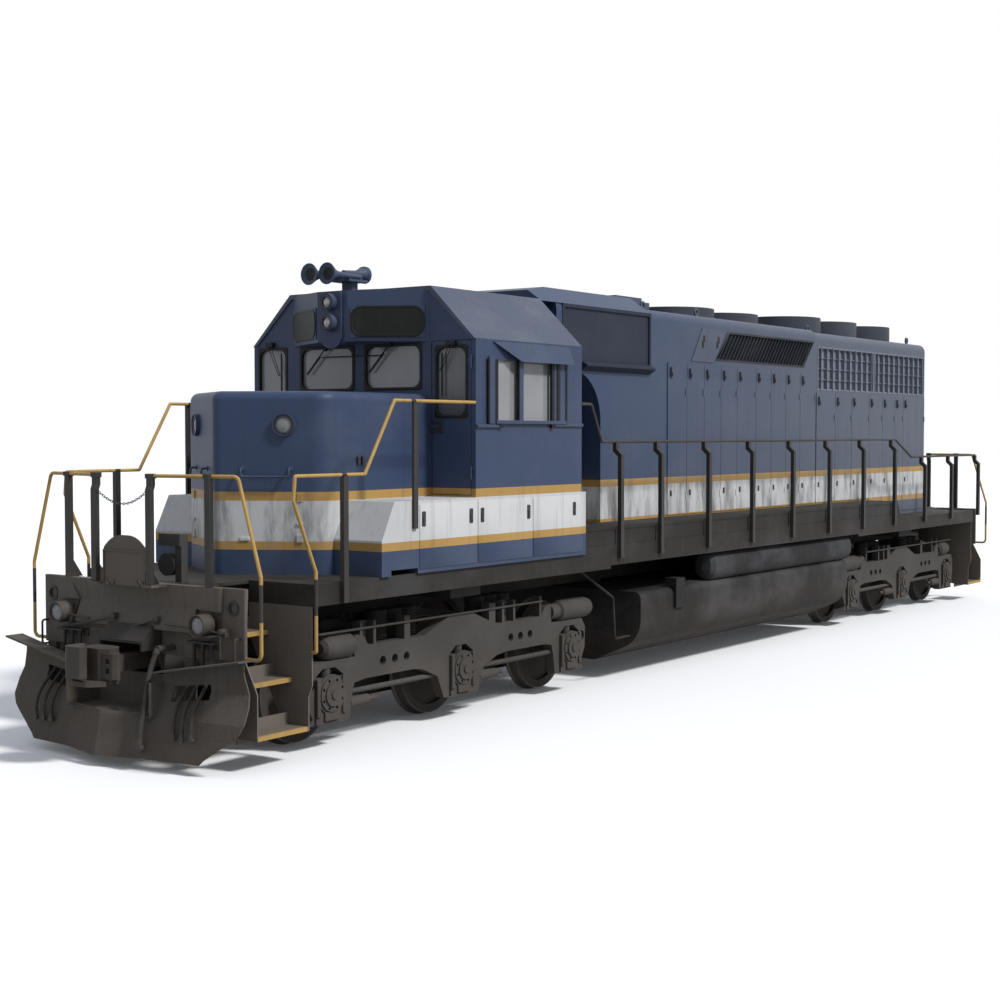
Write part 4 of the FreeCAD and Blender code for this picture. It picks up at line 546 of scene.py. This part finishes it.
# %% Glass
glass, tree, shader = new_material("window_glass")
film = noise(tree, object_point(tree), (1.4, 1.4, 1.1), 4.0)
feed_all(tree, shader, Base_Color=mixed(tree, film, (0.25, 0.255, 0.265, 1), (0.32, 0.325, 0.33, 1)),
         IOR=1.5, Roughness=ramp(tree, film, 0.2, 2.4), Alpha=ramp(tree, film, -1.4, 0.9))
print("glass ready")

# %% [markdown]
# Now each solid gets its finish: one table says which, and the loop hands it out.

# %% Give out the finishes
finish_of = {
    livery_paint: ("nose_hood", "equipment_boxes", "cab_body", "front_door", "rear_door", "equipment_hood",
                   "engine_hood", "radiator_hood", "hood_doors"),
    plain_blue: ("number_board_housing", "sunshades", "horns"),
    lamp_paint: ("lamps",),
    roof_paint: ("cab_roof", "roof_fittings"),
    fan_case_paint: ("fan_housings",),
    frame_paint: ("underframe", "draft_boxes", "drop_plate_rear"),
    end_paint_with_painted_light: ("end_plates", "drop_plate_front"),
    stair_paint_with_painted_light: ("end_stairs",),
    side_rail_paint: ("side_handrails",),
    end_rail_paint: ("end_handrails",),
    plough_paint_with_painted_light: ("snow_plough",),
    tank_paint: ("fuel_tank", "air_reservoirs"),
    cast_paint: tuple(end + "_bogie_" + part for end in ("front", "rear")
                      for part in ("frame", "journal_boxes", "brake_gear")) + ("platform_fittings",),
    motor_paint: ("front_bogie_traction_motors", "rear_bogie_traction_motors"),
    screen_paint: ("air_intakes",),
    grille_paint: ("brake_grilles",),
    shutter_paint_with_painted_light: ("radiator_screens",),
    coupler_steel: ("coupler_front", "coupler_rear"),
    dark_steel: ("hose_couplings", "gate_chain"),
    fan_metal: ("fan_1", "fan_2", "fan_3", "fan_4", "fan_5"),
    cab_grey: ("cab_fittings",),
    rubber: ("control_hoses_left", "control_hoses_right", "brake_hose"),
    engine_paint: ("engine_block",),
    glass: ("window_panes",),
}


def paint(piece, made):
    """Puts one material in a piece's slots; each slot belongs to the object, not the mesh."""
    if not piece.material_slots:
        piece.data.materials.append(None)
    for place in piece.material_slots:
        place.link = "OBJECT"
        place.material = made


for made, names in finish_of.items():
    for name in names:
        paint(nodes[name], made)
for number, made in enumerate(wheel_paints):
    paint(nodes["wheelset_" + str(number + 1)], made)
for piece in hoses:
    piece.data.materials.append(rubber)
print("painted:", sum(len(names) for names in finish_of.values()) + len(wheel_paints), "of", len(nodes))

# %% [markdown]
# The small pieces are all closed shells made in one of four ways, each a short formula:
# a pad is a rounded outline on a face, carried outward through a few steps; a gasket is
# the same with a hole; a rod is a circle carried along a path; a turned piece is a
# profile spun about an axis. A repeated piece is many such shells in one mesh, which is
# lighter for Blender than hundreds of objects.


# %% Shells from rings
def unit(vector):
    """The vector or vectors at length one."""
    vector = np.asarray(vector, float)
    return vector / np.linalg.norm(vector, axis=-1, keepdims=True)


def around(count):
    """Equal angles round a circle, in a column."""
    return np.linspace(0, 2 * math.pi, count, endpoint=False)[:, None]


def ring_faces(rings, corners, looped):
    """Quads between neighbouring rings; an open stack also gets a flat face at each end."""
    i, j = np.indices((rings - (not looped), corners)).reshape(2, -1)
    i2, j2 = (i + 1) % rings, (j + 1) % corners
    quads = np.stack([i * corners + j, i * corners + j2, i2 * corners + j2, i2 * corners + j], axis=1)
    if looped:
        return quads.tolist()
    return quads.tolist() + [list(range(corners))[::-1], list(range((rings - 1) * corners, rings * corners))]


def make_piece(name, shells, made, body="carbody"):
    """One piece from many shells. Each shell is (rings[i, j], looped)."""
    points, faces, base = [], [], 0
    for rings, looped in shells:
        count, corners = rings.shape[:2]
        points.append(rings.reshape(-1, 3))
        faces += [[base + k for k in face] for face in ring_faces(count, corners, looped)]
        base += count * corners
    mesh = bpy.data.meshes.new(name)
    mesh.from_pydata(np.concatenate(points).tolist(), [], faces)
    shell = bmesh.new()
    shell.from_mesh(mesh)
    bmesh.ops.recalc_face_normals(shell, faces=shell.faces)
    shell.to_mesh(mesh)
    shell.free()
    mesh.polygons.foreach_set("use_smooth", np.ones(len(mesh.polygons), bool))
    mesh.set_sharp_from_angle(angle=math.radians(35))
    mesh.materials.append(made)
    piece = add_object(name, mesh)
    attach(piece, body)
    print(name + ":", len(shells), "shells,", len(mesh.polygons), "faces")
    return piece


def rounded_outline(width, height, radius):
    """Corner arcs of a rounded rectangle: corner centre + radius (cos t, sin t)."""
    per_corner = 6
    t = (np.linspace(0, 1, per_corner) + np.arange(4)[:, None]).ravel() * math.pi / 2
    right, above = np.repeat((1, -1, -1, 1), per_corner), np.repeat((1, 1, -1, -1), per_corner)
    return (right * (width / 2 - radius) + radius * np.cos(t),
            above * (height / 2 - radius) + radius * np.sin(t))


def face_axes(normal):
    """Level and upright directions in the face with this outward normal."""
    normal = unit(normal)
    rest = np.array([0.0, 1.0, 0.0]) if abs(normal[2]) > 0.9 else np.array([0.0, 0.0, 1.0])
    level = unit(np.cross(rest, normal))
    return level, np.cross(normal, level), normal


def outlines(centre, normal, width, height, steps):
    """Rounded outlines on a face. Each step is (grow, corner radius, lift off the face)."""
    level, upright, out = face_axes(normal)
    rings = []
    for grow, radius, lift in steps:
        x, y = rounded_outline(width + 2 * grow, height + 2 * grow, radius)
        rings.append(np.asarray(centre) + x[:, None] * level + y[:, None] * upright + lift * out)
    return np.stack(rings)


def pad(centre, normal, width, height, radius, steps):
    """A closed plate on a face. Each step is (grow, lift off the face)."""
    steps = [(grow, radius + grow, lift) for grow, lift in steps]
    return outlines(centre, normal, width, height, steps), False


def raised(foot, shoulder, edge, top):
    """A plate's steps: straight up from foot to shoulder, then in over its edge to the top."""
    return (0, foot), (0, shoulder), (-edge, top)


def gasket(centre, normal, width, height, steps):
    """A looped section round a window, with the steps of its outlines."""
    return outlines(centre, normal, width, height, steps), True


def rounded_route(points, bend):
    """Corners rounded by (1 - t)^2 A + 2 t (1 - t) C + t^2 D, where A and D lie a bend from C."""
    points = np.asarray(points, float)
    if bend == 0 or len(points) < 3:
        return points
    t = np.linspace(0, 1, 5)[:, None]
    route = [points[:1]]
    for before, corner, after in zip(points, points[1:], points[2:]):
        a, d = corner + bend * unit(before - corner), corner + bend * unit(after - corner)
        route.append((1 - t) ** 2 * a + 2 * t * (1 - t) * corner + t ** 2 * d)
    return np.concatenate(route + [points[-1:]])


def rod(points, radius, bend=0.0, sides=10, looped=False, flat=1.0):
    """A circle carried along a route: P + r (N cos a + flat B sin a)."""
    if looped:
        route = np.asarray(points, float)
        tangent = unit(np.roll(route, -1, axis=0) - np.roll(route, 1, axis=0))
    else:
        route = rounded_route(points, bend)
        tangent = unit(np.gradient(route, axis=0))
    reference = np.eye(3)[np.argmin(np.abs(tangent).mean(axis=0))]
    side = unit(np.cross(tangent, reference))
    lift = np.cross(tangent, side)
    a = around(sides)
    rings = route[:, None] + radius * (side[:, None] * np.cos(a) + flat * lift[:, None] * np.sin(a))
    return rings, looped


def turned(centre, axis, profile, sides=28):
    """A profile of (along, radius) spun about an axis: C + along A + radius (U cos a + V sin a)."""
    level, upright, axis = face_axes(axis)
    profile = np.asarray(profile, float)
    a = around(sides)
    along, radius = profile[:, 0, None, None], profile[:, 1, None, None]
    return np.asarray(centre) + along * axis + radius * (level * np.cos(a) + upright * np.sin(a)), False


mirror = np.array([1.0, -1.0, 1.0])


def twin(shells):
    """The shells and their mirror images across the centre line."""
    return shells + [(rings * mirror, looped) for rings, looped in shells]


print("shell makers ready")

# %% [markdown]
# Over the windshield sit two number boards. A real one is a lit box behind a black
# glass mask with painted figures. These stay blank: a black rounded mask with a raised
# rim, flush on its slanted casing.

# %% Number boards
forward, backward, left, upward = (1, 0, 0), (-1, 0, 0), (0, 1, 0), (0, 0, 1)
cab_front, cab_rear, cab_side = 6.28, 4.28, 1.56
black_mask = material("black_mask", (0.006, 0.007, 0.006, 1), bump=0.05, specular=0.18,
                      Rough=0.45, Streaks=0.2, Chalk=0.04)
casing_tip = np.array([6.71, 0.21, 4.163])
board_run = unit((-0.43, 0.74, 0.0))
board_normal = np.array([board_run[1], -board_run[0], 0.0])
board_centre = casing_tip + board_run * 0.425
board_steps = ((0, 0.0143), (0, 0.02), (-0.005, 0.023), (-0.02, 0.023), (-0.024, 0.0195))
board = pad(board_centre, board_normal, 0.785, 0.325, 0.115, board_steps)
make_piece("number_board_masks", twin([board]), black_mask)

# %% [markdown]
# Every cab window is held by a black rubber gasket, whose rounded corners make a square
# opening look soft. Its section is a flange over the wall and a lip that reaches in to
# the glass.

# %% Window gaskets
gasket_rubber = material("gasket_rubber", (0.007, 0.007, 0.008, 1), bump=0.1, specular=0.2,
                         Rough=0.5, Streaks=0.1, Chalk=0.05)
gasket_section = ((0.017, 0.03, 0.0006), (0.017, 0.03, 0.008), (0.01, 0.04, 0.011),
                  (-0.008, 0.085, 0.011), (-0.014, 0.09, 0.006), (-0.014, 0.09, -0.021),
                  (-0.004, 0.085, -0.021), (-0.004, 0.085, 0.0006))
# (piece, body, wall, its direction, openings from y0 to y1 and from z0 to z1)
openings = (
    ("front_window_gaskets", "carbody", cab_front, forward,
     ((0.085, 0.845, 3.468, 3.928), (-0.845, -0.085, 3.468, 3.928), (-1.48, -1.065, 3.168, 3.938))),
    ("front_door_gasket", "front_door", cab_front, forward, ((1.05, 1.445, 3.168, 3.89),)),
    ("rear_window_gasket", "carbody", cab_rear, backward, ((1.045, 1.445, 3.168, 3.88),)),
    ("rear_door_gasket", "rear_door", cab_rear, backward, ((-1.445, -1.05, 3.168, 3.89),)),
)
for name, body, wall, facing, panes in openings:
    made = [gasket((wall, (y0 + y1) / 2, (z0 + z1) / 2), facing, y1 - y0, z1 - z0, gasket_section)
            for y0, y1, z0, z1 in panes]
    make_piece(name, made, gasket_rubber, body=body)
# An opaque pane: its dark grey is painted shade of the cab inside, seen through the glass. The coat gives
# real reflections, and the streaks and chalk real dirt.
door_glass_painted_shade = material("door_glass_painted_shade", (0.07, 0.073, 0.08, 1), bump=0.05, coat=0.5, specular=0.4,
                      Rough=0.25, Streaks=0.3, Chalk=0.25)
for door, x, y, facing in (("front_door", cab_front - 0.018, 1.2475, forward),
                           ("rear_door", cab_rear + 0.018, -1.2475, backward)):
    pane = pad((x, y, 3.529), facing, 0.392, 0.719, 0.004, ((0, 0), (0, 0.002)))
    make_piece(door + "_glass", [pane], door_glass_painted_shade, body=door)

# %% [markdown]
# The side windows slide between upright posts, under a sloping shade and over a sill. The
# dark strips are rubber weather seals, and the posts and the ledges are painted steel.


# %% Side windows
def side_pad(x, z, width, height, radius, steps, face=cab_side):
    """A plate on a wall that faces left."""
    return pad((x, face, z), left, width, height, radius, steps)


post_steps, seal_steps = raised(0.0006, 0.02, 0.004, 0.024), raised(0.0004, 0.028, 0.003, 0.031)
posts = [side_pad(x, (z0 + z1) / 2, width, z1 - z0, 0.006, post_steps)
         for x, width, z0, z1 in ((5.49, 0.075, 3.128, 3.76), (4.845, 0.045, 3.128, 3.76),
                                  (6.01, 0.11, 3.092, 3.79), (4.7, 0.105, 3.128, 3.76))]
ledges = [side_pad((x0 + x1) / 2, z, x1 - x0, depth, 0.008, raised(0.0005, out, 0.004, out + 0.004))
          for x0, x1, z, depth, out in ((5.88, 6.278, 3.07, 0.036, 0.022),
                                        (4.282, 4.85, 3.086, 0.036, 0.022),
                                        (4.64, 5.96, 3.112, 0.038, 0.034))]
make_piece("side_window_posts", twin(posts + ledges), plain_blue)
seal_low, seal_high = 3.1, 3.765
seals = [side_pad(x, (seal_low + seal_high) / 2, width, seal_high - seal_low, 0.006, seal_steps)
         for x, width in ((6.082, 0.026), (5.945, 0.045), (5.54, 0.02), (4.905, 0.036), (4.792, 0.052),
                          (4.632, 0.034))]
feet = [side_pad(x, 3.074, 0.055, 0.05, 0.008, ((0, 0.0004), (0, 0.034))) for x in (5.87, 4.9)]
make_piece("side_window_seals", twin(seals + feet), gasket_rubber)

# %% [markdown]
# Wipers are thin flat arms that hang from a small motor box over each pane. The middle
# pair is linked by a bar; the tall corner panes have a two-rod arm with an upright blade.

# %% Wipers
glass_front = cab_front + 0.018


def wiper(pivot, tip):
    """A slanting arm from its pivot, and its blade beyond half way."""
    pivot, tip = np.array((glass_front, *pivot)), np.array((glass_front, *tip))
    middle = pivot + (tip - pivot) * 0.42
    return [rod([pivot + (0.01, 0, 0), middle + (0.01, 0, 0), tip + (0.002, 0, 0)], 0.0085, flat=0.5),
            rod([pivot + (tip - pivot) * 0.3, tip], 0.0135, flat=0.55),
            turned(pivot - (0.017, 0, 0), forward, ((0, 0.024), (0.028, 0.024), (0.034, 0.018)), 14)]


def corner_wiper(top_y, joint_y, blade_y, top_z, joint_z, blade_low):
    """Two thin rods from a motor box down to an upright blade."""
    x = glass_front
    box = pad((cab_front, top_y, top_z), forward, 0.11, 0.05, 0.01, raised(0.0006, 0.05, 0.006, 0.056))
    blade = rod([(x, blade_y, top_z - 0.1), (x, blade_y, blade_low)], 0.0125, flat=0.6, sides=8)
    arms = [rod([(x + 0.02, top_y + side * 0.022, top_z - 0.02),
                 (x + 0.008, joint_y + side * 0.01, joint_z)], 0.0045, sides=6) for side in (1, -1)]
    return [box, *arms, blade]


link_x, link_z = glass_front + 0.008, 3.826
wipers = (wiper((0.444, 3.938), (0.155, 3.645)) + wiper((-0.467, 3.915), (-0.738, 3.643))
          + [rod([(link_x, -0.54, link_z), (link_x, 0.345, link_z)], 0.0055, sides=6)]
          + corner_wiper(-1.29, -1.148, -1.124, 3.985, 3.633, 3.4))
make_piece("front_wipers", wipers, gasket_rubber)
make_piece("front_door_wiper", corner_wiper(1.262, 1.128, 1.14, 3.925, 3.64, 3.38), gasket_rubber,
           body="front_door")

# %% [markdown]
# A sealed-beam lamp is a silvered bowl behind a ribbed lens. Seen from outside it is a
# pale ribbed dome in a dark ring, so each lamp is a turned ring and a dome whose profile
# ripples slightly.

# %% Lamps
lamp_ring = material("lamp_ring", (0.018, 0.02, 0.026, 1), bump=0.1, specular=0.4,
                     Rough=0.4, Streaks=0.1, Chalk=0.1)
lens_glass = material("lens_glass", (0.36, 0.375, 0.39, 1), bump=0.1, grain=0.001, coat=0.6,
                      metallic=0.35, specular=0.6, Rough=0.16, Dust=0.1, Streaks=0.25)
dusty_lens = material("dusty_lens", (0.19, 0.2, 0.205, 1), bump=0.1, grain=0.001, coat=0.3,
                      specular=0.5, Rough=0.3, Dust=0.2, Streaks=0.35, Chalk=0.1)


def lens(centre, axis, radius, bulge):
    """A dome whose height falls as 1 - (r / R)^2, with a fine cosine ripple for its six ribs."""
    r = np.linspace(1.0, 0.04, 26)
    height = bulge * (1 - r ** 2) + 0.0012 * np.cos(2 * math.pi * 6 * r)
    edge = np.array([[-0.0005, radius]])
    return turned(centre, axis, np.concatenate([edge, np.stack([height + 0.003, r * radius], axis=1)]), 36)


def lamp_bezel(centre, axis, inner, outer, depth):
    """A closed ring with a rounded lip."""
    section = ((0, inner), (depth * 0.8, inner), (depth, inner + 0.005), (depth, outer - 0.006),
               (depth * 0.75, outer), (0, outer))
    return turned(centre, axis, section, 36)[0], True


# (place, direction) of each lamp
headlights = [((6.7905, 0.0, z), forward) for z in (4.37, 4.157)]
marker_normal = unit((0.96, 0.57, 0.0))
marker = np.array([8.0866, 0.5952, 3.078]) + marker_normal * 0.0145
markers = [(marker, marker_normal), (marker * mirror, marker_normal * mirror)]
ditch = [((9.5755, y, 1.299), forward) for y in (0.95, -0.95)]
bezels = [lamp_bezel(*lamp, inner, outer, depth)
          for lamps, inner, outer, depth in ((headlights, 0.052, 0.0785, 0.03), (markers, 0.07, 0.097, 0.014),
                                             (ditch, 0.074, 0.0855, 0.018)) for lamp in lamps]
make_piece("lamp_bezels", bezels, lamp_ring)
clear = [lens(*lamp, 0.0515, 0.012) for lamp in headlights]
make_piece("lamp_lenses", clear, lens_glass)
dull = [lens(*lamp, 0.0695, 0.01) for lamp in markers] + [lens(*lamp, 0.0735, 0.014) for lamp in ditch]
make_piece("marker_and_ditch_lenses", dull, dusty_lens)

# %% [markdown]
# Doors and latches make the flanks read as sheet metal. The boxes under the cab have flat
# doors with small recessed latches; the hood's doors have a dark latch each, and a small
# catch low down in the white band.

# %% Doors and latches
leaves = [side_pad((x0 + x1) / 2, 1.985, x1 - x0, 0.64, 0.02, raised(0.0004, 0.005, 0.003, 0.007))
          for x0, x1 in ((6.262, 7.206), (5.262, 6.244), (4.262, 5.244))]
make_piece("box_doors", twin(leaves), livery_paint)
box_latch_places = (7.146, 6.368, 6.176, 5.337, 4.439)
latch_steps = ((0, 0.0066), (0, 0.01), (-0.004, 0.012), (-0.009, 0.012), (-0.012, 0.008))
box_latches = [side_pad(x, 2.156, 0.06, 0.15, 0.014, latch_steps) for x in box_latch_places]
paddles = [side_pad(x, 2.14, 0.026, 0.07, 0.008, raised(0.008, 0.014, 0.003, 0.016))
           for x in box_latch_places]
make_piece("box_latches", twin(box_latches + paddles), lamp_ring)

hood_face, catch_face, hatch_face, nose_side = 0.975, 0.9574, 0.955, 0.96
# front edges of the hood's tall doors, and of the low ones under the radiators
tall_doors = (1.28, 0.77, 0.29, -0.19, -0.67, -1.25, -1.735, -2.22, -2.71)
low_doors = (-3.29, -3.99, -4.63, -5.34, -5.9, -6.43, -6.8)
latch_spots = [(front - 0.085, top) for top, fronts in ((3.915, tall_doors), (3.62, low_doors))
               for front in fronts]
hood_latches = [side_pad(x, top - 0.125, 0.05, 0.13, 0.01, raised(0.0004, 0.006, 0.004, 0.008), hood_face)
                for x, top in latch_spots]
hasps = [side_pad(x, top - 0.15, 0.02, 0.05, 0.006, raised(0.007, 0.016, 0.003, 0.018), hood_face)
         for x, top in latch_spots]
make_piece("hood_latches", twin(hood_latches + hasps), lamp_ring)
catches = [side_pad(x, 2.215, 0.04, 0.075, 0.01, raised(0.0004, 0.008, 0.004, 0.01), catch_face)
           for x, top in latch_spots]
make_piece("hood_catches", twin(catches), dark_steel)
hatch_slots = [side_pad(x, z, 0.052, 0.092, 0.014, raised(0.0004, 0.003, 0.004, 0.0038), hatch_face)
               for x, z in ((0.296, 4.268), (0.33, 4.19), (-0.114, 4.267), (-0.078, 4.2))]
make_piece("hatch_slots", twin(hatch_slots), black_mask)
door_plate = pad((cab_front, 1.07, 3.062), forward, 0.165, 0.125, 0.012, raised(0.0006, 0.012, 0.004, 0.015))
make_piece("front_door_plate", [door_plate], lamp_ring, body="front_door")

# %% [markdown]
# The short hood carries a bent grab iron on each slanted face, which the crew hold as they
# go round it. Its doors are held by flat fastenings, and a side hatch by two dark catches.

# %% Grab irons
run = unit((-0.57, 0.96, 0.0))


def on_nose(along, height, proud):
    """A point on the slanted left face of the short hood, along from its tip."""
    return np.array([8.44, 0.0, height]) + run * along + marker_normal * proud


iron_ends, iron_z, grip_z = (0.275, 0.75), 2.65, 2.575
near, far = ([on_nose(along, z, proud) for z, proud in ((iron_z, -0.004), (iron_z, 0.062), (grip_z, 0.062))]
             for along in iron_ends)
nose_iron = rod(near + far[::-1], 0.0115, bend=0.03)
foot = ((0, 0.026), (0.006, 0.026), (0.008, 0.022))
feet = [turned(on_nose(along, iron_z, 0.0004), marker_normal, foot, 14) for along in iron_ends]
make_piece("nose_grab_irons", twin([nose_iron] + feet), plain_blue)
plate_steps = raised(0.0004, 0.01, 0.004, 0.013)
fastenings = [pad(on_nose(along, z, 0.0), marker_normal, width, height, 0.008, plate_steps)
              for along, z, width, height in ((0.84, 2.375, 0.06, 0.085), (0.84, 1.972, 0.06, 0.085),
                                              (0.3, 1.972, 0.095, 0.036), (0.845, 2.12, 0.07, 0.03))]
make_piece("nose_door_fastenings", twin(fastenings), livery_paint)
side_catches = [side_pad(x, 2.726, 0.036, 0.085, 0.008, raised(0.0004, 0.022, 0.004, 0.026), nose_side)
                for x in (7.427, 7.36)]
make_piece("nose_side_catches", twin(side_catches), lamp_ring)

# %% [markdown]
# A safety chain hangs across the gap between the two gate posts. Its line is a parabola,
# close to the real catenary for so slack a chain, and every other link is turned a
# quarter, as links are.

# %% Gate chain
chain_x, chain_half, hook_height, chain_sag, link_count = 9.6, 0.329, 2.47, 0.118, 25


def chain_link(place, ahead, edge_on):
    """An oval link: centre + long half-axis ahead cos t + short half-axis across sin t."""
    across = np.array(forward) if edge_on else unit(np.cross(ahead, forward))
    t = around(14)
    return rod(place + 0.0185 * np.cos(t) * ahead + 0.0105 * np.sin(t) * across, 0.0034, sides=6, looped=True)


t = np.linspace(-1, 1, link_count)
chain_line = np.stack([np.full_like(t, chain_x), chain_half * t, hook_height - chain_sag * (1 - t ** 2)],
                      axis=1)
chain_ahead = unit(np.gradient(chain_line, axis=0))
links = [chain_link(place, ahead, k % 2 == 0)
         for k, (place, ahead) in enumerate(zip(chain_line, chain_ahead))]
chain = make_piece("gate_chain_links", links, dark_steel)
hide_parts("gate_chain")

# %% [markdown]
# An air horn's mouth is open: the bell flares out to a rolled lip and, looking in, narrows
# into the dark. The flare is one profile turned about the horn's axis, out along the lip
# and back down into the mouth.

# %% Horn mouths
# (place of the mouth, direction it faces, how far the lip flares past the bell)
mouths = (((6.6, -0.15, 4.694), 1, 0.022), ((6.64, -0.37, 4.694), 1, 0.022),
          ((5.9, -0.26, 4.739), -1, 0.0))
bell = 0.095


def flare(place, facing, wider):
    """The lip of a horn's bell, going out from the solid bell and back into its mouth."""
    lip = bell + wider
    section = ((-0.02, bell - 0.004), (-0.004, bell - 0.001), (0.018, lip - 0.007), (0.026, lip),
               (0.029, lip - 0.0005), (0.028, lip - 0.006), (0.016, bell - 0.012), (0.008, bell - 0.028))
    return turned(place, (facing, 0, 0), section, 36)


make_piece("horn_flares", [flare(*mouth) for mouth in mouths], plain_blue)
# The throat is a black dish: painted shade inside the open bell.
throat = ((0.0005, bell - 0.02), (0.0105, bell - 0.028), (0.0085, 0.03))
dishes = [turned(place, (facing, 0, 0), throat, 32) for place, facing, wider in mouths]
make_piece("horn_throats", dishes, black_mask)

# %% [markdown]
# Each axle box is closed by a round cover held by bolts, with a filler plug low on its
# face. Bolt heads are hexagons: a turned shape with six sides. A lug hangs below the
# cover, and a wear strip stands on each side of it, where the box slides in its frame.

# %% Journal bolts
# (face of the cover, radius of its circle of bolts, number of bolts)
covers = ((1.264, 0.14, 8), (1.284, 0.086, 4))
bolt_head = ((-0.001, 0.019), (0.016, 0.019), (0.02, 0.015))
lug_steps, strip_steps = raised(-0.034, 0.004, 0.006, 0.01), raised(-0.004, 0.016, 0.006, 0.022)
for bogie, pivot in bogie_pivots:
    bolts = []
    for axle in wheel_places:
        middle = pivot + axle
        for face, reach, count in covers:
            for turn in (np.arange(count) + 0.5) * 2 * math.pi / count:
                place = (middle + reach * math.cos(turn), face, axle_z + reach * math.sin(turn))
                bolts.append(turned(place, left, bolt_head, 6))
        bolts.append(side_pad(middle, axle_z - 0.205, 0.2, 0.09, 0.015, lug_steps, 1.264))
        bolts += [side_pad(middle + side * 0.178, axle_z - 0.02, 0.05, 0.36, 0.012, strip_steps, 1.25)
                  for side in (1, -1)]
    make_piece(bogie + "_journal_bolts", twin(bolts), cast_paint, body=bogie)

# %% [markdown]
# The front end is the working end: levers that lift the coupler's pin from either side,
# angle brackets that carry them, covered sockets for the jumper cable, and grab
# irons beside the plough. All are bent rods and pressed caps.

# %% Front end fittings
lever_x, bracket_x, iron_x = end_plate + 0.122, end_plate + 0.08, end_plate + 0.075
# (radius, bend, corners as (y, z)) of each lever
lever_routes = (
    (0.009, 0.0, ((-0.99, 1.29), (-0.56, 1.262))),
    (0.011, 0.04, ((-0.849, 1.175), (-0.587, 1.225), (-0.224, 1.303))),
    (0.011, 0.04, ((-0.524, 1.16), (-0.082, 1.17), (0.04, 1.225), (0.329, 1.3))),
    (0.009, 0.0, ((0.466, 1.275), (0.99, 1.255))),
    (0.009, 0.03, ((0.98, 1.262), (1.17, 1.24), (1.17, 1.02))),
)
levers = [rod([(lever_x, y, z) for y, z in corners], radius, bend)
          for radius, bend, corners in lever_routes]
carriers = ((-0.224, 1.303), (0.34, 1.303), (1.17, 1.25))
eyes = [turned((end_plate + 0.088, y, z), forward, ((-0.03, 0.03), (0.04, 0.03), (0.048, 0.02)), 16)
        for y, z in carriers]
brackets = [pad((bracket_x, y, z - 0.03), forward, 0.075, 0.05, 0.008, ((0, -0.03), (0, 0.02)))
            for y, z in carriers]
corner_iron = rod([(end_plate - 0.004, 1.3, 1.19), (iron_x, 1.3, 1.19), (iron_x, 1.3, 0.96),
                   (end_plate - 0.004, 1.3, 0.96)], 0.0105, bend=0.03)
socket = lamp_bezel((end_plate + 0.001, 1.214, 1.453), forward, 0.046, 0.068, 0.014)
make_piece("front_end_fittings", levers + eyes + brackets + twin([corner_iron, socket]), coupler_steel)

# %% [markdown]
# Behind the gap in the plough, a shelf and two cheeks tie the blade to the cross plate and
# keep snow out of the draft gear. They are flat plates, seen only through the gap.

# %% Plough box
box_middle, box_depth = 9.598, 0.4
shelf = pad((box_middle, 0, 0.4715), upward, box_depth, 1.13, 0.006, ((0, 0), (0, 0.008)))
cheek = side_pad(box_middle + 0.009, 0.632, box_depth - 0.018, 0.3, 0.006, ((0, -0.006), (0, 0.006)), 0.56)
make_piece("plough_box", [shelf] + twin([cheek]), plough_paint_with_painted_light)

# %% [markdown]
# The locomotive's weight comes down on nests of coil springs, which stand on each bogie
# between its axles and show as a dark ribbed row above the side frame.

# %% Bogie springs
coil_radius, wire, spring_foot, coils = 0.1, 0.015, 0.87, 12
along = np.arange(2 * coils + 1) * wire
ribs = tuple(zip(along, np.where(np.arange(2 * coils + 1) % 2, coil_radius + wire, coil_radius)))
for bogie, pivot in bogie_pivots:
    nests = [turned((pivot + end * (0.83 + step), 0.96, spring_foot), upward, ribs, 20)
             for end in (1, -1) for step in (-0.235, 0.0, 0.235)]
    make_piece(bogie + "_springs", twin(nests), motor_paint, body=bogie)

# %% [markdown]
# Last, the bounds of the dressed object are printed.

# %% Sizes and finish
low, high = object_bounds()
print("dressed from", tuple(low), "to", tuple(high))
